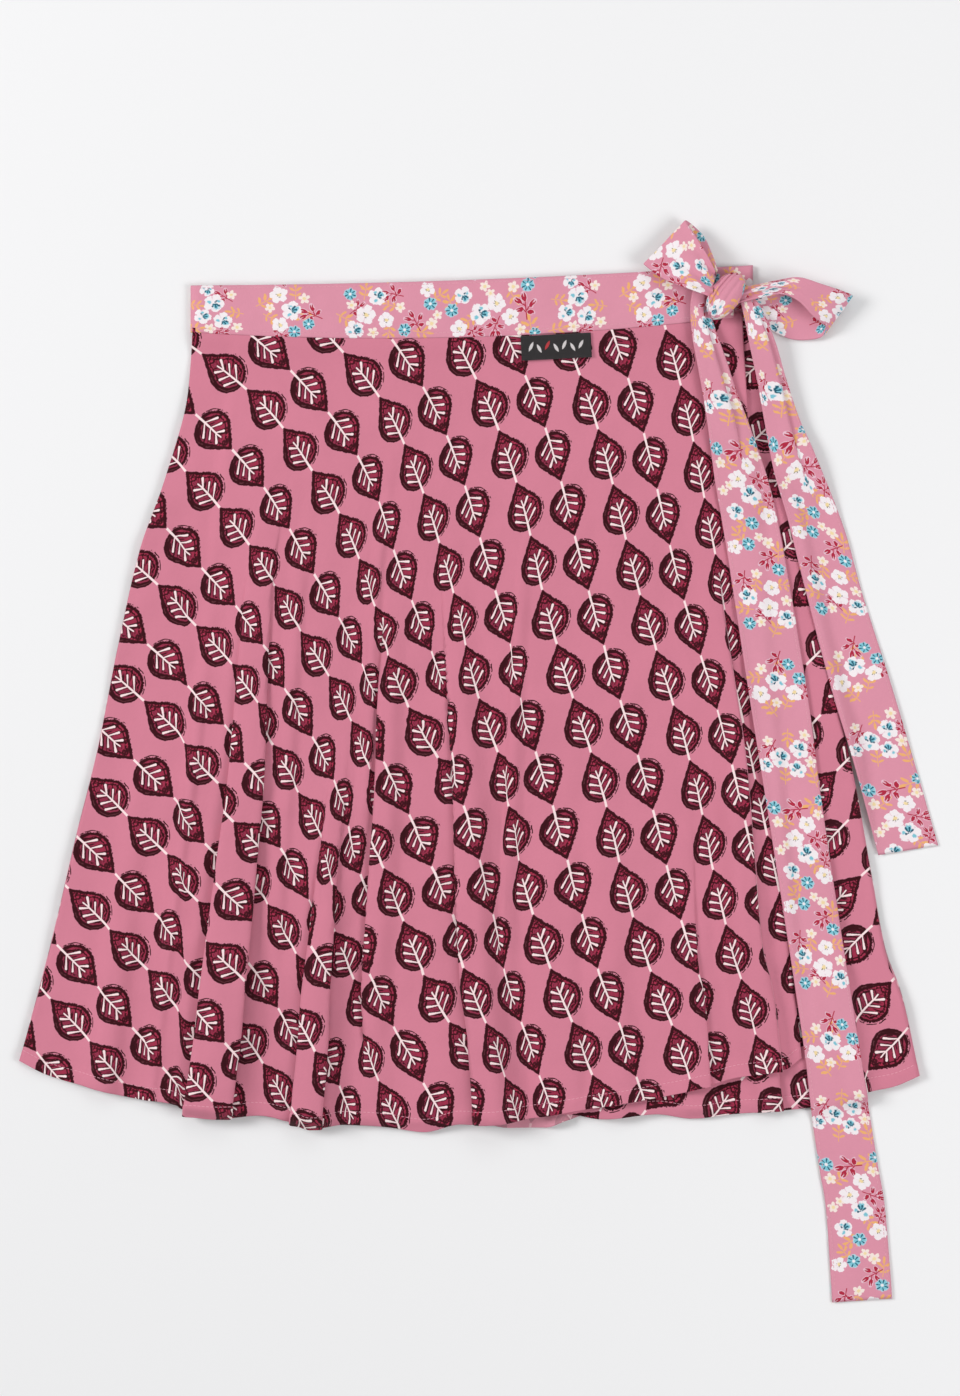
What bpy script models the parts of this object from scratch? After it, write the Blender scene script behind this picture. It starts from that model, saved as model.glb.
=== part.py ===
# Wrap skirt laid flat on its back, fastened by a bow at the right hip.
# Metres. +X to the right across the front, +Y towards the waist, +Z up from the surface it lies on.
# Three flared panels (back, under front, outer front) hang from a doubled waistband; the cloth that
# the flare adds stands up between waist and hem as folds, which each panel's fold table lists.
import bpy
import math
import numpy as np
from mathutils import Vector
from mathutils.bvhtree import BVHTree

CLOTH_WALL = 0.0010        # a single panel
BAND_WALL = 0.0016         # waistband, cloth doubled over a stiffener
TIE_WALL = 0.0012          # tie, cloth doubled
LABEL_WALL = 0.0010
GAP = 0.0003               # clearance between neighbouring pieces
FINER = 3                  # points looked at per grid cell, each way, for what lies under a piece
LEAST_STATION = 0.0015     # least distance between the stations of a cross-section

# Waist seam and top edge of the waistband: y = level + tilt * x + sag * x * x
WAIST_SEAM = {"level": 0.2976, "tilt": 0.0327, "sag": 0.241}
BAND_TOP = {"level": 0.3377, "tilt": 0.0373, "sag": 0.084}
BAND_LEFT = -0.2016
BAND_RIGHT = 0.1915
BAND_FRONT_RIGHT = 0.1780  # where the outer band goes under the knot
BAND_UNDER_LEFT = -0.1650  # hidden end of the inner wrap's band

# Side lines and free edges: (part of the way from waist to hem, x)
SIDE_LEFT = ((0.0, -0.2002), (0.08, -0.2037), (0.19, -0.2191), (0.29, -0.2373), (0.42, -0.2527),
             (0.57, -0.2681), (0.67, -0.2807), (0.82, -0.2982), (1.0, -0.3213))
SIDE_RIGHT = ((0.0, 0.1915), (0.10, 0.2002), (0.24, 0.2177), (0.37, 0.2331), (0.47, 0.2457),
              (0.60, 0.2618), (0.73, 0.2744), (0.83, 0.2842), (0.89, 0.2954), (1.0, 0.3080))
OUTER_EDGE = ((0.0, 0.1841), (0.35, 0.1946), (0.69, 0.2100), (1.0, 0.2254))
UNDER_EDGE = ((0.0, -0.1650), (1.0, -0.2250))

# Hems: (x, y)
HEM_OUTER = ((-0.3213, -0.2083), (-0.3017, -0.2181), (-0.2751, -0.2258), (-0.2373, -0.2349),
             (-0.2110, -0.2384), (-0.2040, -0.2462), (-0.1799, -0.2482), (-0.1568, -0.2461),
             (-0.1323, -0.2500), (-0.1176, -0.2559), (-0.0945, -0.2524), (-0.0672, -0.2538),
             (-0.0385, -0.2580), (-0.0119, -0.2517), (0.0042, -0.2517), (0.0441, -0.2468),
             (0.0868, -0.2398), (0.1365, -0.2314), (0.1813, -0.2195), (0.2142, -0.2139),
             (0.2254, -0.2062))
HEM_UNDER = ((-0.2250, -0.2320), (-0.1000, -0.2460), (0.0000, -0.2460), (0.0609, -0.2454),
             (0.0840, -0.2489), (0.1246, -0.2454), (0.1490, -0.2486), (0.1785, -0.2454),
             (0.2296, -0.2412), (0.2702, -0.2300), (0.2891, -0.2265), (0.3080, -0.2187))
HEM_BACK = ((-0.3213, -0.2083), (-0.2500, -0.2280), (-0.1500, -0.2430), (-0.0500, -0.2490),
            (0.0042, -0.2524), (0.0210, -0.2552), (0.0469, -0.2552), (0.0609, -0.2500),
            (0.0900, -0.2430), (0.2000, -0.2360), (0.2900, -0.2225), (0.3080, -0.2187))

# Folds, on lines from waist to hem. waist, middle, hem: part of the way from left to right side line;
# begin, full, fade: where on the way down the fold starts, stands full and dies out;
# half, left, right: half width and width of each flank; back, under, outer: height that each panel adds.
FOLD_COLUMNS = ("waist", "middle", "hem", "begin", "full", "fade", "half", "left", "right",
                "back", "under", "outer")
FOLDS = (
    (0.059, 0.063, 0.091, 0.45, 1.00, 9.0, 0.014, 0.012, 0.012, 0.0025, 0.0000, 0.0025),
    (0.162, 0.195, 0.206, 0.10, 0.90, 9.0, 0.017, 0.010, 0.006, 0.0030, 0.0020, 0.0075),
    (0.343, 0.322, 0.318, 0.45, 0.95, 9.0, 0.010, 0.006, 0.005, 0.0020, 0.0020, 0.0060),
    (0.392, 0.394, 0.395, 0.30, 0.50, 0.8, 0.013, 0.004, 0.018, 0.0000, 0.0000, 0.0040),
    (0.451, 0.467, 0.515, 0.20, 0.80, 9.0, 0.015, 0.004, 0.020, 0.0025, 0.0020, 0.0060),
    (0.640, 0.562, 0.555, 0.20, 0.45, 0.7, 0.010, 0.006, 0.012, 0.0000, 0.0000, 0.0045),
    (0.680, 0.620, 0.600, 0.42, 1.00, 9.0, 0.012, 0.012, 0.008, 0.0040, 0.0000, 0.0000),
    (0.765, 0.685, 0.665, 0.40, 1.00, 9.0, 0.018, 0.018, 0.018, 0.0000, 0.0030, 0.0010),
    (0.834, 0.784, 0.754, 0.50, 1.00, 9.0, 0.012, 0.012, 0.010, 0.0030, 0.0000, 0.0030),
    (0.883, 0.847, 0.830, 0.20, 0.60, 9.0, 0.013, 0.012, 0.008, 0.0000, 0.0040, 0.0020),
    (0.955, 0.935, 0.935, 0.50, 1.00, 9.0, 0.010, 0.010, 0.010, 0.0030, 0.0015, 0.0000),
)
PANELS = {
    "back_panel": {"left": SIDE_LEFT, "right": SIDE_RIGHT, "hem": HEM_BACK, "layer": "back",
                   "folds": FOLDS, "rows": 8},
    "under_front_panel": {"left": UNDER_EDGE, "right": SIDE_RIGHT, "hem": HEM_UNDER, "layer": "under",
                          "folds": FOLDS[2:], "rows": 8},
    "outer_front_panel": {"left": SIDE_LEFT, "right": OUTER_EDGE, "hem": HEM_OUTER, "layer": "outer",
                          "folds": FOLDS[:-1], "rows": 14},
}

# Ties, a row for each cross-section from the knot to the cut end:
# (left edge x, left edge y, right edge x, right edge y, least height)
FRONT_TIE = (
    (0.1500, 0.3200, 0.1610, 0.3170, 0.0075), (0.1492, 0.3020, 0.1605, 0.2990, 0.0070),
    (0.1512, 0.2818, 0.1700, 0.2797, 0.0065), (0.1568, 0.2370, 0.1883, 0.2370, 0.0060),
    (0.1645, 0.1964, 0.2023, 0.1964, 0.0050), (0.1722, 0.1523, 0.2121, 0.1523, 0.0000),
    (0.1876, 0.0515, 0.2289, 0.0515, 0.0000), (0.1995, -0.0235, 0.2387, -0.0235, 0.0000),
    (0.2128, -0.1075, 0.2513, -0.1075, 0.0000), (0.2268, -0.1985, 0.2653, -0.1985, 0.0000),
    (0.2317, -0.2398, 0.2723, -0.2398, 0.0000), (0.2380, -0.2832, 0.2793, -0.2832, 0.0000),
    (0.2429, -0.3140, 0.2842, -0.3126, 0.0000), (0.2471, -0.3777, 0.2891, -0.3749, 0.0000),
)
SIDE_TIE = (
    (0.1872, 0.3235, 0.1945, 0.3205, 0.0100), (0.1876, 0.2930, 0.2037, 0.3035, 0.0085),
    (0.1960, 0.2594, 0.2145, 0.2630, 0.0065), (0.2058, 0.2034, 0.2345, 0.2160, 0.0050),
    (0.2156, 0.1698, 0.2548, 0.1656, 0.0000), (0.2268, 0.1250, 0.2681, 0.1187, 0.0000),
    (0.2464, 0.0500, 0.2863, 0.0613, 0.0000), (0.2632, -0.0060, 0.3052, -0.0018, 0.0000),
    (0.2793, -0.0648, 0.3213, -0.0578, 0.0000),
)
# Loops, a row for each cross-section, out along the lower layer and back along the upper one:
# (near edge x, y, z, far edge x, y, z)
LEFT_LOOP = (
    (0.1595, 0.3285, 0.0085, 0.1600, 0.3470, 0.0085), (0.1440, 0.3320, 0.0078, 0.1580, 0.3600, 0.0075),
    (0.1280, 0.3390, 0.0078, 0.1520, 0.3700, 0.0065), (0.1148, 0.3469, 0.0110, 0.1442, 0.3784, 0.0090),
    (0.1290, 0.3380, 0.0160, 0.1535, 0.3705, 0.0150), (0.1450, 0.3310, 0.0185, 0.1605, 0.3605, 0.0180),
    (0.1600, 0.3265, 0.0165, 0.1610, 0.3480, 0.0165),
)
RIGHT_LOOP = (
    (0.1955, 0.3100, 0.0020, 0.1955, 0.3310, 0.0050), (0.2023, 0.3014, 0.0014, 0.2060, 0.3310, 0.0030),
    (0.2191, 0.2960, 0.0010, 0.2240, 0.3310, 0.0020), (0.2366, 0.2965, 0.0020, 0.2440, 0.3290, 0.0030),
    (0.2429, 0.3014, 0.0060, 0.2604, 0.3259, 0.0080), (0.2401, 0.3060, 0.0110, 0.2540, 0.3285, 0.0130),
    (0.2324, 0.3112, 0.0135, 0.2394, 0.3329, 0.0160), (0.2226, 0.3210, 0.0150, 0.2226, 0.3378, 0.0170),
    (0.2107, 0.3270, 0.0145, 0.2080, 0.3368, 0.0160), (0.1975, 0.3275, 0.0125, 0.1900, 0.3340, 0.0135),
)
KNOT = {"x": 0.1740, "y": 0.3278, "half_width": 0.0095, "half_length": 0.0165,
        "turn": math.radians(29.0), "height": 0.0135}
KNOT_LEVELS = ((0.0, 0.62), (0.12, 0.86), (0.38, 1.0), (0.65, 0.93), (0.85, 0.70), (1.0, 0.30))
KNOT_SIDES = 18
LABEL = {"left": 0.0290, "right": 0.0780, "length": 0.0170, "drop": 0.0008, "turn": math.radians(3.0)}
LOOP_STEPS = 18
LOOP_SPANS = 3

MATERIALS = {
    "leaf_print_cloth": ((0.64, 0.20, 0.28), 0.85),
    "flower_print_cloth": ((0.70, 0.24, 0.36), 0.85),
    "woven_label": ((0.02, 0.02, 0.022), 0.75),
}

laid = []      # search trees of the pieces laid down so far


def clear_scene():
    for thing in list(bpy.data.objects):
        bpy.data.objects.remove(thing, do_unlink=True)


def make_material(name):
    colour, roughness = MATERIALS[name]
    material = bpy.data.materials.new(name)
    material.use_nodes = True
    shader = material.node_tree.nodes["Principled BSDF"]
    shader.inputs["Base Color"].default_value = (*colour, 1.0)
    shader.inputs["Roughness"].default_value = roughness
    shader.inputs["Metallic"].default_value = 0.0
    return material


def ease(t):
    t = np.clip(t, 0.0, 1.0)
    return t * t * (3.0 - 2.0 * t)


def along(table, at):
    # Smooth curve through the rows of a two-column table, with no overshoot between them.
    keys = np.array([row[0] for row in table], dtype=float)
    values = np.array([row[1] for row in table], dtype=float)
    rise = np.diff(values) / np.diff(keys)
    slope = np.empty_like(values)
    slope[0] = rise[0]
    slope[-1] = rise[-1]
    for i in range(1, len(values) - 1):
        same_way = rise[i - 1] * rise[i] > 0.0
        slope[i] = 2.0 * rise[i - 1] * rise[i] / (rise[i - 1] + rise[i]) if same_way else 0.0
    i = int(np.clip(np.searchsorted(keys, at) - 1, 0, len(keys) - 2))
    span = keys[i + 1] - keys[i]
    t = float(np.clip((at - keys[i]) / span, 0.0, 1.0))
    from_start = values[i] * (2 * t ** 3 - 3 * t ** 2 + 1) + slope[i] * span * (t ** 3 - 2 * t ** 2 + t)
    from_end = values[i + 1] * (3 * t ** 2 - 2 * t ** 3) + slope[i + 1] * span * (t ** 3 - t ** 2)
    return float(from_start + from_end)


def sweep(rows, t):
    # Point at t (0 to 1) on the smooth curve through table rows of equal length.
    rows = np.array(rows, dtype=float)
    place = t * (len(rows) - 1)
    i = min(int(place), len(rows) - 2)
    f = place - i
    before = rows[max(i - 1, 0)]
    after = rows[min(i + 2, len(rows) - 1)]
    start_slope = (rows[i + 1] - before) / 2.0
    end_slope = (after - rows[i]) / 2.0
    return (rows[i] * (2 * f ** 3 - 3 * f ** 2 + 1) + start_slope * (f ** 3 - 2 * f ** 2 + f)
            + rows[i + 1] * (3 * f ** 2 - 2 * f ** 3) + end_slope * (f ** 3 - f ** 2))


def edge_level(curve, x):
    return curve["level"] + curve["tilt"] * x + curve["sag"] * x * x


def height_below(x, y):
    # Highest point of what is laid so far at (x, y); 0 is the surface underneath.
    highest = 0.0
    for tree in laid:
        hit = tree.ray_cast(Vector((x, y, 1.0)), Vector((0.0, 0.0, -1.0)))[0]
        if hit is not None:
            highest = max(highest, hit.z)
    return highest


def rest_on_laid(plan):
    # Height at which a piece with these plan points clears all that lies under its cells.
    plan = np.array(plan, dtype=float)
    rows, columns = plan.shape[:2]
    if not laid:
        return np.zeros((rows, columns))
    fine = np.empty(((rows - 1) * FINER + 1, (columns - 1) * FINER + 1))
    for i in range(fine.shape[0]):
        for j in range(fine.shape[1]):
            a = min(i // FINER, rows - 2)
            b = min(j // FINER, columns - 2)
            s = i / FINER - a
            t = j / FINER - b
            point = ((1 - s) * ((1 - t) * plan[a, b] + t * plan[a, b + 1])
                     + s * ((1 - t) * plan[a + 1, b] + t * plan[a + 1, b + 1]))
            fine[i, j] = height_below(point[0], point[1])
    rest = np.empty((rows, columns))
    for i in range(rows):
        for j in range(columns):
            near_rows = slice(max(0, (i - 1) * FINER), (i + 1) * FINER + 1)
            near_columns = slice(max(0, (j - 1) * FINER), (j + 1) * FINER + 1)
            rest[i, j] = fine[near_rows, near_columns].max()
    return np.where(rest > 0.0, rest + GAP, 0.0)


def wall_object(name, grid, wall, material):
    # Closed wall on a grid of points: the points are its underside, and it grows to the side
    # that the rows and columns turn anticlockwise about.
    grid = np.array(grid, dtype=float)
    rows, columns = grid.shape[:2]
    down = np.gradient(grid, axis=0)
    across = np.gradient(grid, axis=1)
    normal = np.cross(across, -down)
    normal /= np.linalg.norm(normal, axis=2, keepdims=True)
    lower = grid.reshape(-1, 3)
    upper = (grid + normal * wall).reshape(-1, 3)
    count = rows * columns
    faces = []
    for i in range(rows - 1):
        for j in range(columns - 1):
            a = i * columns + j
            b = a + 1
            c = a + columns + 1
            d = a + columns
            faces.append((a, b, c))
            faces.append((a, c, d))
            faces.append((count + a, count + c, count + b))
            faces.append((count + a, count + d, count + c))
    rim = [j for j in range(columns)]
    rim += [i * columns + columns - 1 for i in range(1, rows)]
    rim += [(rows - 1) * columns + j for j in range(columns - 2, -1, -1)]
    rim += [i * columns for i in range(rows - 2, 0, -1)]
    for k, a in enumerate(rim):
        b = rim[(k + 1) % len(rim)]
        faces.append((a, count + a, count + b))
        faces.append((a, count + b, b))
    mesh = bpy.data.meshes.new(name)
    mesh.from_pydata([tuple(p) for p in np.vstack((lower, upper))], [], faces)
    return add_object(name, mesh, material)


def add_object(name, mesh, material):
    mesh.materials.append(material)
    mesh.shade_smooth()
    mesh.set_sharp_from_angle(angle=math.radians(50.0))
    piece = bpy.data.objects.new(name, mesh)
    bpy.context.collection.objects.link(piece)
    return piece


def lay_down(piece):
    points = [v.co.copy() for v in piece.data.vertices]
    polygons = [tuple(p.vertices) for p in piece.data.polygons]
    laid.append(BVHTree.FromPolygons(points, polygons))


def fold_values(fold, v, layer):
    # Edges, flanks and height of one fold on the cross-section at v.
    row = dict(zip(FOLD_COLUMNS, fold))
    bend = 2.0 * (row["waist"] + row["hem"] - 2.0 * row["middle"])
    part = row["waist"] + (4.0 * row["middle"] - 3.0 * row["waist"] - row["hem"]) * v + bend * v * v
    left = along(SIDE_LEFT, v)
    centre = left + part * (along(SIDE_RIGHT, v) - left)
    narrow = 0.55 + 0.45 * v
    height = row[layer] * ease((v - row["begin"]) / (row["full"] - row["begin"]))
    height *= 1.0 - ease((v - row["fade"]) / 0.18)
    return {"start": centre - row["half"] * narrow, "end": centre + row["half"] * narrow,
            "left": row["left"] * narrow, "right": row["right"] * narrow, "height": float(height)}


def cross_stations(folds, left, right):
    # Stations of a cross-section: five on each fold, one between folds, none closer than the least.
    stations = []
    for k, fold in enumerate(folds):
        before = folds[k - 1]["end"] if k else left
        stations.append(0.5 * (before + fold["start"]))
        crest = 0.5 * (fold["start"] + fold["left"] + fold["end"] - fold["right"])
        inner = (crest - 0.25 * (crest - fold["start"]), crest + 0.25 * (fold["end"] - crest))
        stations += [fold["start"], min(fold["start"] + fold["left"], inner[0]), crest]
        stations += [max(fold["end"] - fold["right"], inner[1]), fold["end"]]
    stations.append(0.5 * (folds[-1]["end"] + right))
    stations = sorted(stations)
    for k, x in enumerate(stations):
        lowest = (stations[k - 1] if k else left) + LEAST_STATION
        stations[k] = max(x, lowest)
    for k in range(len(stations) - 1, -1, -1):
        highest = (stations[k + 1] if k < len(stations) - 1 else right) - LEAST_STATION
        stations[k] = min(stations[k], highest)
    return [left] + stations + [right]


def build_panel(name, material):
    panel = PANELS[name]
    plan = []
    stand = []
    for i in range(panel["rows"] + 1):
        v = i / panel["rows"]
        left = along(panel["left"], v)
        right = along(panel["right"], v)
        folds = [fold_values(fold, v, panel["layer"]) for fold in panel["folds"]]
        stations = cross_stations(folds, left, right)
        plan.append([])
        stand.append([])
        for x in stations:
            seam = edge_level(WAIST_SEAM, x) - GAP
            plan[-1].append((x, seam + (along(panel["hem"], x) - seam) * v))
            stand[-1].append(sum(f["height"] * float(ease((x - f["start"]) / f["left"]))
                                 * float(ease((f["end"] - x) / f["right"])) for f in folds))
    grid = np.dstack((np.array(plan), rest_on_laid(plan) + np.array(stand)))
    return wall_object(name, grid, CLOTH_WALL, material)


def build_band(name, start, end, material):
    columns = 16
    plan = [[], [], []]
    for j in range(columns + 1):
        x = start + (end - start) * j / columns
        top = edge_level(BAND_TOP, x)
        seam = edge_level(WAIST_SEAM, x)
        for i in range(3):
            plan[i].append((x, top + (seam - top) * i / 2.0))
    grid = np.dstack((np.array(plan), rest_on_laid(plan)))
    return wall_object(name, grid, BAND_WALL, material)


def build_tie(name, table, steps, material):
    plan = []
    lift = []
    for i in range(steps + 1):
        left_x, left_y, right_x, right_y, least = sweep(table, i / steps)
        plan.append([(left_x + (right_x - left_x) * j / 3.0, left_y + (right_y - left_y) * j / 3.0)
                     for j in range(4)])
        lift.append([least] * 4)
    grid = np.dstack((np.array(plan), np.maximum(rest_on_laid(plan), np.array(lift))))
    return wall_object(name, grid, TIE_WALL, material)


def build_loop(name, table, material):
    grid = []
    for i in range(LOOP_STEPS + 1):
        section = sweep(table, i / LOOP_STEPS)
        near = section[:3]
        far = section[3:]
        grid.append([near + (far - near) * j / LOOP_SPANS for j in range(LOOP_SPANS + 1)])
    return wall_object(name, grid, TIE_WALL, material)


def build_knot(name, material):
    base = height_below(KNOT["x"], KNOT["y"]) + GAP
    points = []
    for level, spread in KNOT_LEVELS:
        for k in range(KNOT_SIDES):
            angle = 2.0 * math.pi * k / KNOT_SIDES
            across = KNOT["half_width"] * spread * math.cos(angle)
            length = KNOT["half_length"] * spread * math.sin(angle)
            x = KNOT["x"] + across * math.cos(KNOT["turn"]) - length * math.sin(KNOT["turn"])
            y = KNOT["y"] + across * math.sin(KNOT["turn"]) + length * math.cos(KNOT["turn"])
            points.append((x, y, base + KNOT["height"] * level))
    faces = [tuple(reversed(range(KNOT_SIDES)))]
    for i in range(len(KNOT_LEVELS) - 1):
        for k in range(KNOT_SIDES):
            a = i * KNOT_SIDES + k
            b = i * KNOT_SIDES + (k + 1) % KNOT_SIDES
            faces.append((a, b, b + KNOT_SIDES, a + KNOT_SIDES))
    last = (len(KNOT_LEVELS) - 1) * KNOT_SIDES
    faces.append(tuple(last + k for k in range(KNOT_SIDES)))
    mesh = bpy.data.meshes.new(name)
    mesh.from_pydata(points, [], faces)
    return add_object(name, mesh, material)


def build_label(name, material):
    plan = []
    for i in range(3):
        plan.append([])
        for j in range(5):
            along_seam = (LABEL["right"] - LABEL["left"]) * j / 4.0
            drop = LABEL["length"] * i / 2.0
            x = LABEL["left"] + along_seam + drop * math.sin(LABEL["turn"])
            top = edge_level(WAIST_SEAM, LABEL["left"]) - LABEL["drop"]
            plan[-1].append((x, top + along_seam * math.tan(LABEL["turn"]) - drop))
    grid = np.dstack((np.array(plan), rest_on_laid(plan)))
    return wall_object(name, grid, LABEL_WALL, material)


def centre_on_origin(pieces):
    corners = np.array([tuple(v.co) for piece in pieces for v in piece.data.vertices])
    low = corners.min(axis=0)
    high = corners.max(axis=0)
    shift = Vector((-(low[0] + high[0]) / 2.0, -(low[1] + high[1]) / 2.0, -low[2]))
    for piece in pieces:
        for vertex in piece.data.vertices:
            vertex.co += shift


def main():
    clear_scene()
    leaf = make_material("leaf_print_cloth")
    flower = make_material("flower_print_cloth")
    black = make_material("woven_label")
    pieces = []
    for name in ("back_panel", "under_front_panel", "outer_front_panel"):
        pieces.append(build_panel(name, leaf))
        lay_down(pieces[-1])
    panels_laid = list(laid)
    laid.clear()
    for name, start, end in (("waistband_back", BAND_LEFT, BAND_RIGHT),
                             ("waistband_under", BAND_UNDER_LEFT, BAND_RIGHT),
                             ("waistband_front", BAND_LEFT, BAND_FRONT_RIGHT)):
        pieces.append(build_band(name, start, end, flower))
        lay_down(pieces[-1])
    pieces.append(build_knot("bow_knot", flower))
    laid.extend(panels_laid)
    pieces.append(build_tie("tie_tail_front", FRONT_TIE, 26, flower))
    pieces.append(build_tie("tie_tail_side", SIDE_TIE, 18, flower))
    pieces.append(build_label("label", black))
    pieces.append(build_loop("bow_loop_left", LEFT_LOOP, flower))
    pieces.append(build_loop("bow_loop_right", RIGHT_LOOP, flower))
    centre_on_origin(pieces)


main()
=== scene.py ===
import bpy
import math
import numpy as np
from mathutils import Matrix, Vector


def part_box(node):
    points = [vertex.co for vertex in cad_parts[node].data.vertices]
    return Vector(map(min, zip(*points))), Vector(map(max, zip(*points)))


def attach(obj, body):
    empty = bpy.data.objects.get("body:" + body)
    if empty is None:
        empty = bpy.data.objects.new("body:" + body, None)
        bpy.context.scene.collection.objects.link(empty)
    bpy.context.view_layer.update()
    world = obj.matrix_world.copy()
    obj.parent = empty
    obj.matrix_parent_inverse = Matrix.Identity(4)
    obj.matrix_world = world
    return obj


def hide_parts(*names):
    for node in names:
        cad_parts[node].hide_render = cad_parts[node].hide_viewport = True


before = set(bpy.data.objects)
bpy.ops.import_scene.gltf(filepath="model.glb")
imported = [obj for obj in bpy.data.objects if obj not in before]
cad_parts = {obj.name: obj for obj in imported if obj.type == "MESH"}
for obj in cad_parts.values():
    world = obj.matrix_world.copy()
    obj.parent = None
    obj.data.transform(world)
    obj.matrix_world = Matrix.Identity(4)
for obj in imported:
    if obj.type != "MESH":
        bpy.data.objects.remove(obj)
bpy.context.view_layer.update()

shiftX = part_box("back_panel")[0].x + 0.3213       # from the pattern's own axes to the frame's
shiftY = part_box("tie_tail_front")[0].y + 0.3777


# curves

def ease(t):
    t = np.clip(t, 0.0, 1.0)
    return t * t * (3.0 - 2.0 * t)


def along(table, at):
    # smooth curve through a two-column table, with no overshoot between its rows
    keys = np.array([row[0] for row in table], dtype=float)
    values = np.array([row[1] for row in table], dtype=float)
    rise = np.diff(values) / np.diff(keys)
    slope = np.concatenate(([rise[0]], np.zeros(len(keys) - 2), [rise[-1]]))
    for i in range(1, len(keys) - 1):
        if rise[i - 1] * rise[i] > 0.0:
            slope[i] = 2.0 * rise[i - 1] * rise[i] / (rise[i - 1] + rise[i])
    at = np.asarray(at, dtype=float)
    i = np.clip(np.searchsorted(keys, at) - 1, 0, len(keys) - 2)
    span = keys[i + 1] - keys[i]
    t = np.clip((at - keys[i]) / span, 0.0, 1.0)
    start = values[i] * (2 * t ** 3 - 3 * t ** 2 + 1) + slope[i] * span * (t ** 3 - 2 * t ** 2 + t)
    end = values[i + 1] * (3 * t ** 2 - 2 * t ** 3) + slope[i + 1] * span * (t ** 3 - t ** 2)
    return start + end


def sweep(rows, t):
    # rows of numbers read smoothly at each t from 0 to 1
    rows = np.array(rows, dtype=float)
    place = np.asarray(t) * (len(rows) - 1)
    i = np.minimum(place.astype(int), len(rows) - 2)
    f = (place - i)[:, None]
    before = rows[np.maximum(i - 1, 0)]
    after = rows[np.minimum(i + 2, len(rows) - 1)]
    startSlope = (rows[i + 1] - before) / 2.0
    endSlope = (after - rows[i]) / 2.0
    return (rows[i] * (2 * f ** 3 - 3 * f ** 2 + 1) + startSlope * (f ** 3 - 2 * f ** 2 + f)
            + rows[i + 1] * (3 * f ** 2 - 2 * f ** 3) + endSlope * (f ** 3 - f ** 2))


def softWaves(x, y, seed, shortest, longest, count=7):
    # gentle unevenness between 0 and 1, the same on every run
    rng = np.random.default_rng(seed)
    total = np.zeros_like(x, dtype=float)
    for _ in range(count):
        turn = rng.uniform(0.0, math.pi)
        wave = rng.uniform(shortest, longest)
        start = rng.uniform(0.0, 2.0 * math.pi)
        total += np.sin((x * math.cos(turn) + y * math.sin(turn)) * 2.0 * math.pi / wave + start)
    return 0.5 + 0.5 * np.clip(total / count ** 0.5 / 1.6, -1.0, 1.0)


# what lies below: a height map that every piece is laid on

pileCell = 0.0015
pileCorner = (-0.37, -0.42)
pile = np.zeros((500, 560))


def layDown(grid, thickness):
    # adds a piece to the pile; grid is rows x columns x 3, its underside
    finer = 4
    for a in np.arange(finer) / finer:
        for b in np.arange(finer) / finer:
            points = ((1 - a) * ((1 - b) * grid[:-1, :-1] + b * grid[:-1, 1:])
                      + a * ((1 - b) * grid[1:, :-1] + b * grid[1:, 1:]))
            cellX = ((points[..., 0] - pileCorner[0]) / pileCell).astype(int)
            cellY = ((points[..., 1] - pileCorner[1]) / pileCell).astype(int)
            np.maximum.at(pile, (cellX, cellY), points[..., 2] + thickness)


def pileTop(reach):
    # the pile widened by reach cells and smoothed by as many, so it never dips below what is there
    wide = pile.copy()
    for _ in range(reach):
        padded = np.pad(wide, 1, mode="edge")
        wide = np.max([padded[i:i + wide.shape[0], j:j + wide.shape[1]]
                       for i in range(3) for j in range(3)], axis=0)
    for _ in range(reach):
        padded = np.pad(wide, 1, mode="edge")
        wide = np.mean([padded[i:i + wide.shape[0], j:j + wide.shape[1]]
                        for i in range(3) for j in range(3)], axis=0)
    return wide


def heightOn(top, x, y):
    placeX = np.clip((x - pileCorner[0]) / pileCell - 0.5, 0, top.shape[0] - 2)
    placeY = np.clip((y - pileCorner[1]) / pileCell - 0.5, 0, top.shape[1] - 2)
    i = placeX.astype(int)
    j = placeY.astype(int)
    a = placeX - i
    b = placeY - j
    return ((1 - a) * ((1 - b) * top[i, j] + b * top[i, j + 1])
            + a * ((1 - b) * top[i + 1, j] + b * top[i + 1, j + 1]))


# meshes

def placed(name, data):
    piece = bpy.data.objects.new(name, data)
    bpy.context.collection.objects.link(piece)
    return piece


def clothMesh(name, grid, uv, faceDown=False, roundTube=False):
    # grid of points to a smooth mesh; uv has the same rows and columns (one column more on a tube)
    rows, columns = grid.shape[:2]
    faces = []
    corners = []
    lastColumn = columns if roundTube else columns - 1
    for i in range(rows - 1):
        for j in range(lastColumn):
            k = (j + 1) % columns
            quad = (i * columns + j, (i + 1) * columns + j, (i + 1) * columns + k, i * columns + k)
            place = ((i, j), (i + 1, j), (i + 1, j + 1), (i, j + 1))
            if faceDown:
                quad = quad[::-1]
                place = place[::-1]
            faces.append(quad)
            corners.extend(place)
    mesh = bpy.data.meshes.new(name)
    mesh.from_pydata(grid.reshape(-1, 3).tolist(), [], faces)
    layer = mesh.uv_layers.new(name="cut")
    corners = np.array(corners)
    layer.data.foreach_set("uv", uv[corners[:, 0], corners[:, 1]].astype(np.float32).ravel())
    mesh.shade_smooth()
    return placed(name, mesh)


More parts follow.
